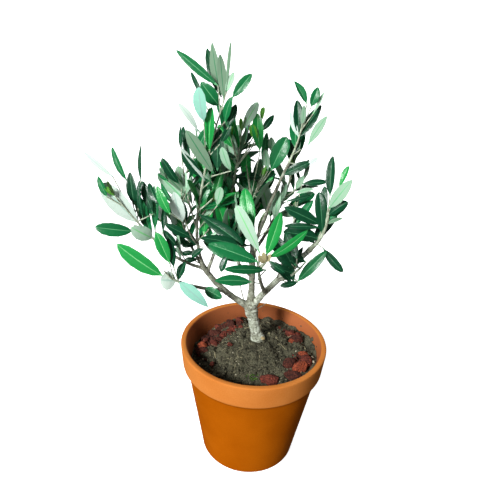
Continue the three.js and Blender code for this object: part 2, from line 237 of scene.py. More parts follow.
def blendColours(tree, factor, first, second):
    # colour sockets or values, mixed by a factor
    return addNode(tree, "Mix", {0: factor, 6: first, 7: second}, data_type="RGBA").outputs[2]


def rampOf(tree, factor, low, high):
    # 0 at low, 1 at high, smooth between
    inputs = {"Value": factor, "From Min": low, "From Max": high}
    return addNode(tree, "MapRange", inputs, interpolation_type="SMOOTHSTEP").outputs["Result"]


def newGroup(name, inputs, outputs):
    # an empty node group with named sockets
    group = bpy.data.node_groups.new(name, "ShaderNodeTree")
    for socketName, kind, value in inputs:
        socket = group.interface.new_socket(socketName, in_out="INPUT", socket_type="NodeSocket" + kind)
        if value is not None:
            socket.default_value = value
    for socketName, kind in outputs:
        group.interface.new_socket(socketName, in_out="OUTPUT", socket_type="NodeSocket" + kind)
    return group, group.nodes.new("NodeGroupInput").outputs, group.nodes.new("NodeGroupOutput")


black, white = (0, 0, 0, 1), (1, 1, 1, 1)


def makeGrainGroup():
    # broad clouds and fine grains between two colours, with pits for the height
    group, given, result = newGroup(
        "grain",
        [("Vector", "Vector", None), ("Cloud Scale", "Float", 20.0), ("Grain Scale", "Float", 800.0),
         ("Grain Share", "Float", 0.4), ("Dark", "Color", black), ("Light", "Color", white)],
        [("Color", "Color"), ("Mask", "Float"), ("Height", "Float")])
    clouds = noise(group, given["Vector"], given["Cloud Scale"], detail=4)
    grains = noise(group, given["Vector"], given["Grain Scale"], detail=3)
    cloudShare = rampOf(group, clouds, low=0.3, high=0.7)
    grainShare = rampOf(group, grains, low=0.32, high=0.68)
    both = addNode(group, "Mix", {0: given["Grain Share"], 2: cloudShare, 3: grainShare}).outputs[0]
    colour = blendColours(group, both, given["Dark"], given["Light"])
    setInputs(group, result, {"Color": colour, "Mask": both, "Height": grainShare})
    return group


def makeBarkGroup():
    # streaks along a limb and pale patches over them, from a vector whose third part runs along the limb
    group, given, result = newGroup(
        "barkStreaks",
        [("Place", "Vector", None), ("Ground", "Color", black), ("Patch", "Color", white),
         ("Crack", "Color", black), ("Patch Share", "Float", 0.5), ("Ring Share", "Float", 0.0)],
        [("Color", "Color"), ("Height", "Float")])
    place = given["Place"]
    alongLimb, roundLimb = stretched(group, place, (1, 1, 0.3)), stretched(group, place, (0.22, 0.22, 1))
    streaks = noise(group, alongLimb, scale=0.9, detail=5)
    patches = noise(group, place, scale=0.22, detail=4)
    specks = noise(group, place, scale=1.7, detail=2)
    rings = noise(group, roundLimb, scale=0.95, detail=3)
    patchShare = rampOf(group, combined(group, "ADD", patches, given["Patch Share"]), low=0.88, high=1.12)
    ringShare = combined(group, "MULTIPLY", rampOf(group, rings, low=0.52, high=0.4), given["Ring Share"])
    crackShare = combined(group, "MAXIMUM", ringShare, rampOf(group, streaks, low=0.44, high=0.34))
    ground = blendColours(group, patchShare, given["Ground"], given["Patch"])
    specked = blendColours(group, rampOf(group, specks, low=0.58, high=0.7), ground, given["Patch"])
    cracked = blendColours(group, crackShare, specked, given["Crack"])
    setInputs(group, result, {"Color": cracked, "Height": streaks})
    return group


def makeLeafGroup():
    # the unevenness of a leaf's skin: a roughness that wanders and fine puckers for the height
    group, given, result = newGroup(
        "leafSkin",
        [("Vector", "Vector", None), ("Roughness", "Float", 0.4), ("Wander", "Float", 0.2)],
        [("Roughness", "Float"), ("Height", "Float")])
    broad = noise(group, given["Vector"], scale=280, detail=3)
    fine = noise(group, given["Vector"], scale=900, detail=3)
    centred = combined(group, "SUBTRACT", broad, 0.5)
    rough = combined(group, "MULTIPLY_ADD", centred, given["Wander"], given["Roughness"])
    puckers = addNode(group, "Mix", {"Factor": 0.25, 2: broad, 3: fine}).outputs[0]
    setInputs(group, result, {"Roughness": rough, "Height": puckers})
    return group


grainGroup = makeGrainGroup()
barkGroup = makeBarkGroup()
leafGroup = makeLeafGroup()


def newMaterial(name, roughness, shine):
    # a material with its shader, and the piece's own coordinates
    material = bpy.data.materials.new(name)
    material.use_nodes = True
    tree = material.node_tree
    shader = tree.nodes["Principled BSDF"]
    setInputs(tree, shader, {"Roughness": roughness, "Specular IOR Level": shine})
    return material, tree, shader, tree.nodes.new("ShaderNodeTexCoord").outputs["Object"]


def raiseBy(tree, shader, height, strength, distance):
    bump = addNode(tree, "Bump", {"Strength": strength, "Distance": distance * millimetre, "Height": height})
    setInputs(tree, shader, {"Normal": bump.outputs["Normal"]})


def grainyMaterial(name, dark, light, roughness, cloudSize, grainSize, grainShare, bump):
    # sizes of clouds and grains in millimetres, and the depth of the pits
    material, tree, shader, place = newMaterial(name, roughness, shine=0.3)
    grain = useGroup(tree, grainGroup, {
        "Vector": place, "Grain Share": grainShare, "Dark": dark, "Light": light,
        "Cloud Scale": 1 / (cloudSize * millimetre), "Grain Scale": 1 / (grainSize * millimetre)})
    setInputs(tree, shader, {"Base Color": grain["Color"]})
    raiseBy(tree, shader, grain["Height"], strength=1, distance=bump)
    return material


# The pot

# the damp stain ends at the first height and is full at the second; the wall is true at the foot and the rim
pot = dict(height=125, rimRadius=70, collarHeight=23, collarFootRadius=68, bodyTopRadius=63.3, baseRadius=47,
           wall=5.4, floor=9, innerFootRadius=41.4, lip=2.0, undercut=4.5, inset=0.4, footRound=2,
           bodyRound=2.5, collarRound=1.4, floorRound=4, sides=160, longest=4, lipRows=3,
           wander=0.2, wanderLength=38, wanderSeed=5, trueFoot=(2, 20), trueRim=(125, 118),
           collarBlend=(-4, 1), stain=(122, 104), body=tint(171, 88, 6), bodyDark=tint(155, 76, 2),
           collar=tint(205, 129, 62), collarDark=tint(191, 113, 48), inner=tint(164, 95, 57),
           damp=tint(96, 48, 28))


def roundedOutline(corners, steps=6):
    # a line through corners (radius, height, rounding), each turned into an arc by a quadratic curve
    spots = np.array([corner[:2] for corner in corners], float)
    outline = [spots[:1]]
    share = np.linspace(0, 1, steps)[:, None]
    for before, spot, after, (_, _, rounding) in zip(spots, spots[1:], spots[2:], corners[1:]):
        into = spot + unit(before - spot) * rounding
        out = spot + unit(after - spot) * rounding
        outline.append(into * (1 - share) ** 2 + 2 * spot * share * (1 - share) + out * share ** 2)
    outline.append(spots[-1:])
    return np.concatenate(outline)


def finer(outline, longest):
    # more points along the straight stretches, none further apart than longest
    spans = np.linalg.norm(np.diff(outline, axis=0), axis=1)
    counts = np.maximum(1, np.ceil(spans / longest).astype(int))
    pieces = [mix(first, second, np.arange(count)[:, None] / count)
              for first, second, count in zip(outline, outline[1:], counts)]
    return np.concatenate([*pieces, outline[-1:]])


def turnedFaces(rows, columns):
    # the faces of a turned shape whose first and last rows are single points on the axis
    ringFaces = gridQuads(rows - 2, columns) + 1
    first = np.arange(columns)
    second = (first + 1) % columns
    lastRing = 1 + (rows - 3) * columns
    end = np.full(columns, 1 + (rows - 2) * columns)
    foot = np.stack([np.zeros(columns, int), 1 + second, 1 + first], -1)
    head = np.stack([end, lastRing + first, lastRing + second], -1)
    return [ringFaces, foot, head]


def turnedPoints(outline, columns):
    # (radius cos a, radius sin a, height) for each row of the outline, and a single point at both ends
    angle = np.arange(columns) * 2 * np.pi / columns
    reach, height = outline[1:-1, :1], outline[1:-1, 1:]
    rings = np.stack([reach * np.cos(angle), reach * np.sin(angle), height + 0 * angle], -1).reshape(-1, 3)
    ends = [[0, 0, outline[0, 1]], [0, 0, outline[-1, 1]]]
    return np.concatenate([ends[:1], rings, ends[1:]])


def clayMaterial():
    # fired clay: a paler collar, a deeper body, faint turning lines and a damp stain above the soil inside
    material, tree, shader, place = newMaterial("firedClay", roughness=0.62, shine=0.01)
    clay = {"Vector": place, "Cloud Scale": 26, "Grain Scale": 900, "Grain Share": 0.3}
    body = useGroup(tree, grainGroup, {**clay, "Dark": pot["bodyDark"], "Light": pot["body"]})
    collar = useGroup(tree, grainGroup, {**clay, "Dark": pot["collarDark"], "Light": pot["collar"]})
    height = addNode(tree, "SeparateXYZ", {0: place}).outputs["Z"]
    collarFoot = pot["height"] - pot["collarHeight"]
    collarShare = rampOf(tree, height, *((collarFoot + step) * millimetre for step in pot["collarBlend"]))
    inside = addNode(tree, "Attribute", attribute_name="inside").outputs["Fac"]
    whole = blendColours(tree, collarShare, body["Color"], collar["Color"])
    whole = blendColours(tree, inside, whole, pot["inner"])
    low = rampOf(tree, height, *(level * millimetre for level in pot["stain"]))
    patchy = combined(tree, "MULTIPLY", combined(tree, "MULTIPLY", inside, low), collar["Mask"])
    whole = blendColours(tree, patchy, whole, pot["damp"])
    lines = addNode(tree, "TexWave", {"Vector": place, "Scale": 90, "Distortion": 1.2, "Detail": 2,
                                      "Detail Scale": 0.4}, bands_direction="Z")
    grainHeight = 0.35
    relief = combined(tree, "MULTIPLY_ADD", body["Height"], grainHeight, lines.outputs["Fac"])
    raiseBy(tree, shader, relief, strength=0.35, distance=0.06)
    rough = addNode(tree, "MapRange", {"Value": body["Mask"], "To Min": 0.66, "To Max": 0.5})
    setInputs(tree, shader, {"Base Color": whole, "Roughness": rough.outputs["Result"]})
    return material


def makePot():
    # the outline of foot, body, collar, lip, inner wall and floor, turned about the axis
    inset, collarFoot = pot["inset"], pot["height"] - pot["collarHeight"]
    corners = [
        (0, 0, 0), (pot["baseRadius"] - inset, 0, pot["footRound"]),
        (pot["bodyTopRadius"], collarFoot - pot["undercut"], pot["bodyRound"]),
        (pot["collarFootRadius"] - inset, collarFoot - inset, pot["collarRound"]),
        (pot["rimRadius"], pot["height"], pot["lip"]),
        (pot["rimRadius"] - pot["wall"], pot["height"], pot["lip"]),
        (pot["innerFootRadius"], pot["floor"], pot["floorRound"]), (0, pot["floor"], 0)]
    outline = finer(roundedOutline(corners), pot["longest"])
    points = turnedPoints(outline, pot["sides"])
    # a thrown pot is never quite true: the wall wanders a little, but not at the foot or the rim
    height = points[:, 2]
    wander = pot["wander"] * cloud(points, pot["wanderLength"], pot["wanderSeed"])
    wander *= smoothStep(*pot["trueFoot"], height) * smoothStep(*pot["trueRim"], height)
    points[:, :2] += unit(points[:, :2] + 1e-9) * wander[:, None]
    piece = makePiece("potClay", points, turnedFaces(len(outline), pot["sides"]), [clayMaterial()],
                      ["pot"])
    rimRow = np.argmax(outline[:, 1])
    rowOf = np.concatenate([[0], np.repeat(np.arange(1, len(outline) - 1), pot["sides"]), [len(outline)]])
    inside = piece.data.attributes.new("inside", "FLOAT", "POINT")
    inside.data.foreach_set("value", (rowOf > rimRow + pot["lipRows"]).astype(np.float32))


makePot()


# How the tree grows: the same limbs, twigs and leaves as the solids have

trunkShape = dict(foot=(4, 8, 120), heading=180, rise=74, lift=6, length=41, footRadius=5.2, forkRadius=5.0,
                  rootFlare=1.7, flareHeight=6, step=4)
limbRule = dict(footShare=0.64, tipShare=0.74, step=12, gap=0.3)

# each bough leaves its parent part of the way along it; headings run anticlockwise from +X, rises are above
# the level, and turn and lift are how far those two change from foot to tip
boughShapes = [
    dict(name="centre", parent="trunk", at=1, heading=92, turn=38, rise=85, lift=-1, length=72.5),
    dict(name="left", parent="trunk", at=0.9, heading=187, turn=9, rise=28.5, lift=31.5, length=65.5),
    dict(name="right", parent="trunk", at=0.93, heading=346, turn=24, rise=57, lift=-9, length=80.5),
    dict(name="low_left", parent="left", at=0.5, heading=214, rise=16, lift=14, length=48),
    dict(name="far_left", parent="left", at=0.96, heading=196, rise=18, lift=32, length=52),
    dict(name="left_back", parent="left", at=0.8, heading=140, rise=24, lift=26, length=34),
    dict(name="top", parent="left", at=1, heading=210, turn=110, rise=72, lift=8, length=68),
    dict(name="centre_top", parent="left", at=0.9, heading=52, turn=-10, rise=60, lift=20, length=84),
    dict(name="upper_left", parent="top", at=0.62, heading=136, turn=10, rise=58, lift=14, length=24),
    dict(name="left_front", parent="top", at=0.36, heading=250, turn=-10, rise=40, lift=24, length=24),
    dict(name="low_centre", parent="centre", at=0.4, heading=218, turn=10, rise=36, lift=20, length=24),
    dict(name="right_top", parent="centre", at=0.72, heading=16, rise=77, lift=-10, length=88),
    dict(name="front", parent="right", at=0.28, heading=262, rise=34, lift=12, length=58),
    dict(name="right_inner", parent="right", at=0.52, heading=76, turn=-30, rise=58, lift=16, length=30),
    dict(name="right_low", parent="right", at=0.5, heading=312, turn=14, rise=26, lift=20, length=18),
    dict(name="back_left", parent="centre", at=0.55, heading=134, rise=36, lift=16, length=58),
    dict(name="back_right", parent="centre", at=0.7, heading=54, rise=34, lift=18, length=52),
    dict(name="back", parent="centre", at=0.25, heading=94, rise=30, lift=20, length=54),
    dict(name="back_top", parent="centre_top", at=0.6, heading=92, rise=42, lift=20, length=32),
]

# each mass of leaves grows on from the tip of its bough
massShapes = [
    dict(bough="top", turn=60, lift=-6, length=92, pairs=8, twigs=3, phase=35, leaf=1),
    dict(bough="low_left", lift=30, length=22, pairs=4, twigs=1, phase=105, leaf=1.1),
    dict(bough="far_left", lift=6, length=54, pairs=5, twigs=2, phase=35, leaf=1.1),
    dict(bough="left_back", lift=24, length=40, pairs=4, twigs=2, phase=10, leaf=0.9),
    dict(bough="upper_left", lift=14, length=46, pairs=4, twigs=2, phase=15, leaf=1),
    dict(bough="left_front", lift=26, length=40, pairs=4, twigs=2, phase=45, leaf=0.95),
    dict(bough="front", lift=26, length=30, pairs=5, twigs=1, phase=170, leaf=1.05),
    dict(bough="low_centre", lift=20, length=34, pairs=4, twigs=2, phase=105, leaf=0.95),
    dict(bough="centre", turn=40, lift=-8, length=60, pairs=5, twigs=2, phase=15, leaf=0.9),
    dict(bough="centre_top", lift=4, length=46, pairs=5, twigs=2, phase=70, leaf=0.9),
    dict(bough="right_top", lift=20, length=42, pairs=5, twigs=2, phase=75, leaf=0.8),
    dict(bough="right_inner", lift=10, length=42, pairs=4, twigs=2, phase=0, leaf=0.9),
    dict(bough="right", turn=-60, lift=50, length=44, pairs=5, twigs=2, phase=95, leaf=0.84),
    dict(bough="right_low", lift=16, length=22, pairs=3, twigs=1, phase=140, leaf=0.9),
    dict(bough="back_left", lift=24, length=48, pairs=5, twigs=2, phase=25, leaf=1),
    dict(bough="back_right", lift=28, length=48, pairs=5, twigs=2, phase=65, leaf=1),
    dict(bough="back", lift=26, length=46, pairs=5, twigs=2, phase=40, leaf=1),
    dict(bough="back_top", lift=20, length=46, pairs=5, twigs=2, phase=5, leaf=1),
]
stemRule = dict(tipRadius=0.55, step=14, firstPair=0.1, lastPair=0.98, leafAtEnds=0.72, leafSwell=0.4,
                swellFrom=0.15, swellTo=0.85)
twigRule = dict(length=24, spread=42, lift=0.3, steepest=80, pairs=2, radius=0.85, leafShare=0.86,
                first=0.2, last=0.72, most=2, start=45, turn=137, leafTurn=60)
leafRule = dict(length=40, width=0.23, stalk=0.1, stalkWidth=1.5, fullness=0.75, lift=0.28, baseSpread=56,
                tipSpread=22, bend=(-0.16, 0.1), roll=70, longer=(0.82, 1.18), swing=40, swingMore=25,
                nod=20, nodMore=10, tries=8, clearance=0.8, ownShare=0.55, lowest=140, outerFrom=0.5)
leafSpotShares = np.array([0.3, 0.45, 0.6, 0.75, 0.9, 1])
seedRule = dict(chips=900, mass=1000, twigs=40, twig=20, tries=16)


def aim(heading, rise):
    # the unit vector of a heading and a rise, in degrees
    heading, rise = np.radians(heading), np.radians(rise)
    level = np.cos(rise)
    return np.stack([level * np.cos(heading), level * np.sin(heading), np.sin(rise + 0 * heading)], -1)


def turnedFrom(direction, towards, angle):
    # one direction turned towards another that is square to it
    return direction * math.cos(math.radians(angle)) + towards * math.sin(math.radians(angle))


class Limb:
    # a centre line stepped along its turning direction, with a radius that runs from foot to tip

    def __init__(self, name, foot, shape, footRadius, tipRadius, step):
        self.name, self.length = name, shape["length"]
        self.heading, self.turn = shape["heading"], shape.get("turn", 0)
        self.rise, self.lift = shape["rise"], shape.get("lift", 0)
        self.footRadius, self.tipRadius = footRadius, tipRadius
        self.steps = max(2, math.ceil(self.length / step))
        reaches = self.directionAt((np.arange(self.steps) + 0.5) / self.steps) * self.length / self.steps
        self.points = np.vstack([foot, foot + np.cumsum(reaches, 0)])

    def directionAt(self, share):
        return aim(self.heading + self.turn * share, self.rise + self.lift * share)

    def sideAt(self, share):
        return aim(self.heading + self.turn * share + 90, 0 * share)

    def stepAt(self, share):
        # the stepped point before a share of the length, and how far on the share is towards the next
        place = np.minimum(np.asarray(share) * self.steps, self.steps - 1e-6)
        before = np.floor(place).astype(int)
        return before, (place - before)[..., None]

    def pointAt(self, share):
        before, t = self.stepAt(share)
        return mix(self.points[before], self.points[before + 1], t)

    def curveAt(self, share):
        # the same line drawn smoothly: a cubic through the stepped points, with slopes from their neighbours
        before, t = self.stepAt(share)
        slopes = np.gradient(self.points, axis=0)
        start, end = self.points[before], self.points[before + 1]
        return ((2 * t ** 3 - 3 * t ** 2 + 1) * start + (t ** 3 - 2 * t ** 2 + t) * slopes[before]
                + (3 * t ** 2 - 2 * t ** 3) * end + (t ** 3 - t ** 2) * slopes[before + 1])

    def radiusAt(self, share):
        return mix(self.footRadius, self.tipRadius, share)

    @property
    def beyondTip(self):
        return self.points[-1] + self.directionAt(1.0) * limbRule["gap"]

    @property
    def spots(self):
        shares = np.arange(self.steps * 2 + 1) / (self.steps * 2)
        return self.name, self.pointAt(shares), self.radiusAt(shares), np.zeros(len(shares), bool)


class Trunk(Limb):

    def __init__(self):
        super().__init__("trunk", np.array(trunkShape["foot"], float), trunkShape, trunkShape["footRadius"],
                         trunkShape["forkRadius"], trunkShape["step"])

    def radiusAt(self, share):
        upFlare = share * trunkShape["length"] / trunkShape["flareHeight"]
        return super().radiusAt(share) + trunkShape["rootFlare"] * np.exp(-upFlare * upFlare)


class Room:
    # round spots of everything grown so far, for telling what a new twig or leaf would touch

    def __init__(self):
        self.codes, self.owners = {}, np.zeros(0, int)
        self.points, self.radii, self.outer = np.zeros((0, 3)), np.zeros(0), np.zeros(0, bool)

    def add(self, spots):
        name, points, radii, outer = spots
        code = self.codes.setdefault(name, len(self.codes))
        self.owners = np.concatenate([self.owners, np.full(len(points), code)])
        self.points = np.concatenate([self.points, points])
        self.radii = np.concatenate([self.radii, radii])
        self.outer = np.concatenate([self.outer, outer])

    def isClear(self, spots, reachShare=1.0):
        # reachShare says how much of the spots' radii counts between one mass and another
        name, points, radii, outer = spots
        if (points[:, 2] - radii <= leafRule["lowest"]).any():
            return False
        distance = np.linalg.norm(points[:, None] - self.points, axis=-1)
        reach = radii[:, None] + self.radii
        own = self.owners == self.codes.get(name, -1)
        bothOuter = outer[:, None] & self.outer
        apart = np.where(own, ~bothOuter | (distance > leafRule["ownShare"] * reachShare * reach),
                         distance > (reach + leafRule["clearance"]) * reachShare)
        return bool(apart.all())


def headingAndRise(direction):
    return math.degrees(math.atan2(direction[1], direction[0])), math.degrees(math.asin(direction[2]))


def leafHalfWidth(length, share):
    # the solids' blade: a narrow stalk, then widest near the middle
    s = np.clip((share - leafRule["stalk"]) / (1 - leafRule["stalk"]), 0, 1)
    blade = leafRule["width"] * length * (4 * s * (1 - s)) ** leafRule["fullness"]
    return np.maximum(leafRule["stalkWidth"] * (1 - share), blade) / 2


def leafMiddle(leaf, share):
    # a leaf's middle line, which leaves its straight line by the bend times the square of the share
    share = share[:, None]
    reach = leaf["along"] * share + leaf["upper"] * leaf["bend"] * share ** 2
    return leaf["root"] + leaf["length"] * reach


def leafSpots(name, leaf):
    # round spots along a leaf for the room; those past its middle are its outer ones
    return (name, leafMiddle(leaf, leafSpotShares), leafHalfWidth(leaf["length"], leafSpotShares),
            leafSpotShares > leafRule["outerFrom"])


def growLeaf(shoot, share, around, size, seed, reachShare):
    # one leaf of a pair, turned further and tried again where it would touch another mass or a limb
    stemwards, side = shoot.directionAt(share), shoot.sideAt(share)
    across = np.cross(side, stemwards)
    for attempt in range(leafRule["tries"]):
        draw = seeded(seed * seedRule["tries"] + attempt)
        angle = around + (next(draw) - 0.5) * (leafRule["swing"] + leafRule["swingMore"] * attempt)
        nod = (next(draw) - 0.5) * (leafRule["nod"] + leafRule["nodMore"] * attempt)
        spread = mix(leafRule["baseSpread"], leafRule["tipSpread"], share) + nod
        along = turnedFrom(stemwards, turnedFrom(side, across, angle), spread)
        along = unit(along + np.array([0, 0, leafRule["lift"]]))
        upper = unit(stemwards - along * stemwards.dot(along))
        upper = turnedFrom(upper, np.cross(along, upper), (next(draw) - 0.5) * leafRule["roll"])
        length = leafRule["length"] * size * mix(*leafRule["longer"], next(draw))
        bend = mix(*leafRule["bend"], next(draw))
        leaf = dict(root=shoot.pointAt(share), along=along, upper=upper, length=length, bend=bend,
                    share=share, seed=seed)
        spots = leafSpots(shoot.name, leaf)
        if room.isClear(spots, reachShare):
            room.add(spots)
            return [leaf]
    return []


def pairShare(spray, pair):
    # how far along its shoot a pair of leaves stands
    return mix(stemRule["firstPair"], stemRule["lastPair"], pair / (spray["pairs"] - 1))


def growSpray(shoot, pairs, phase, size, seed, reachShare=1.0):
    # a shoot with opposite pairs of leaves, each square to the one before, smaller towards both ends
    spray = dict(shoot=shoot, seed=seed, size=size, pairs=pairs, phase=phase, leaves=[])
    for pair in range(pairs):
        share = pairShare(spray, pair)
        swell = math.sin(math.pi * mix(stemRule["swellFrom"], stemRule["swellTo"], share))
        full = size * (stemRule["leafAtEnds"] + stemRule["leafSwell"] * swell)
        for half in range(2):
            spray["leaves"] += growLeaf(shoot, share, phase + 90 * pair + 180 * half, full,
                                        seed + 2 * pair + half, reachShare)
    return spray


def growTwig(stem, share, around, length, radius):
    # a side twig in the angle between a leaf and the stem
    stemwards, side = stem.directionAt(share), stem.sideAt(share)
    outward = turnedFrom(side, np.cross(side, stemwards), around)
    heading, rise = headingAndRise(turnedFrom(stemwards, outward, twigRule["spread"]))
    shape = dict(heading=heading, rise=rise, length=length,
                 lift=(twigRule["steepest"] - rise) * twigRule["lift"])
    tipRadius = min(radius, stemRule["tipRadius"])
    return Limb(stem.name, stem.pointAt(share), shape, radius, tipRadius, stemRule["step"])


limbs = {"trunk": Trunk()}
for shape in boughShapes:
    parent = limbs[shape["parent"]]
    foot = parent.beyondTip if shape["at"] == 1 else parent.pointAt(shape["at"])
    footRadius = parent.radiusAt(shape["at"]) * limbRule["footShare"]
    limbs[shape["name"]] = Limb(shape["name"] + "_bough", foot, shape, footRadius,
                                footRadius * limbRule["tipShare"], limbRule["step"])

stems = []
for shape in massShapes:
    bough = limbs[shape["bough"]]
    onward = dict(shape, heading=bough.heading + bough.turn, rise=bough.rise + bough.lift)
    stems.append(Limb(shape["bough"] + "_foliage", bough.beyondTip, onward, bough.tipRadius,
                      stemRule["tipRadius"], stemRule["step"]))

room = Room()
for limb in [*limbs.values(), *stems]:
    room.add(limb.spots)

sprays = []  # the stem and the side twigs of each mass, with their leaves
for i, (stem, shape) in enumerate(zip(stems, massShapes)):
    seed, phase, size = seedRule["mass"] * (i + 1), shape["phase"], shape["leaf"]
    sprays.append(growSpray(stem, shape["pairs"], phase, size, seed))
    for k in range(shape["twigs"]):
        share = mix(twigRule["first"], twigRule["last"], k / twigRule["most"])
        around = phase + twigRule["start"] + twigRule["turn"] * k
        twig = growTwig(stem, share, around, twigRule["length"], twigRule["radius"])
        if not room.isClear(twig.spots):
            continue
        room.add(twig.spots)
        twigSeed = seed + seedRule["twigs"] + seedRule["twig"] * k
        sprays.append(growSpray(twig, twigRule["pairs"], phase + twigRule["leafTurn"] * k,
                                size * twigRule["leafShare"], twigSeed))


def leafCount(sprays):
    return sum(len(spray["leaves"]) for spray in sprays)


print("grown:", len(limbs), "limbs,", len(sprays), "sprays,", leafCount(sprays), "leaves")


# The leaves that stand out in the photograph: the mass that each grows on, its colour, which for a few in the
# shade of other leaves is a lighter one, a painted light, the pixels of the photograph where it starts and
# ends, how much nearer the viewer its tip is, whether its underside shows, how wide it is, its roll, and how
# many pixels about it stay free of leaves that stand before it

leadRule = dict(front=np.array([-0.2, -0.8, 0.5]), ownRoom=6, otherRoom=4, inFront=9, behind=6, lowest=0.02,
                bend=(0.1, 0.32), roll=50, underFold=0.18, spotShares=np.linspace(0.15, 1, 7), places=61,
                seed=90000, twigFrom=6, slant=1.5, twigRadius=0.55, twigTip=0.45, twigSize=0.6)


def lead(mass, tone, root, tip, nearer=0, under=False, wide=1, roll=0, clear=leadRule["inFront"]):
    return dict(mass=mass, tone=tone, root=root, tip=tip, nearer=nearer, under=under, wide=wide, roll=roll,
                clear=clear)


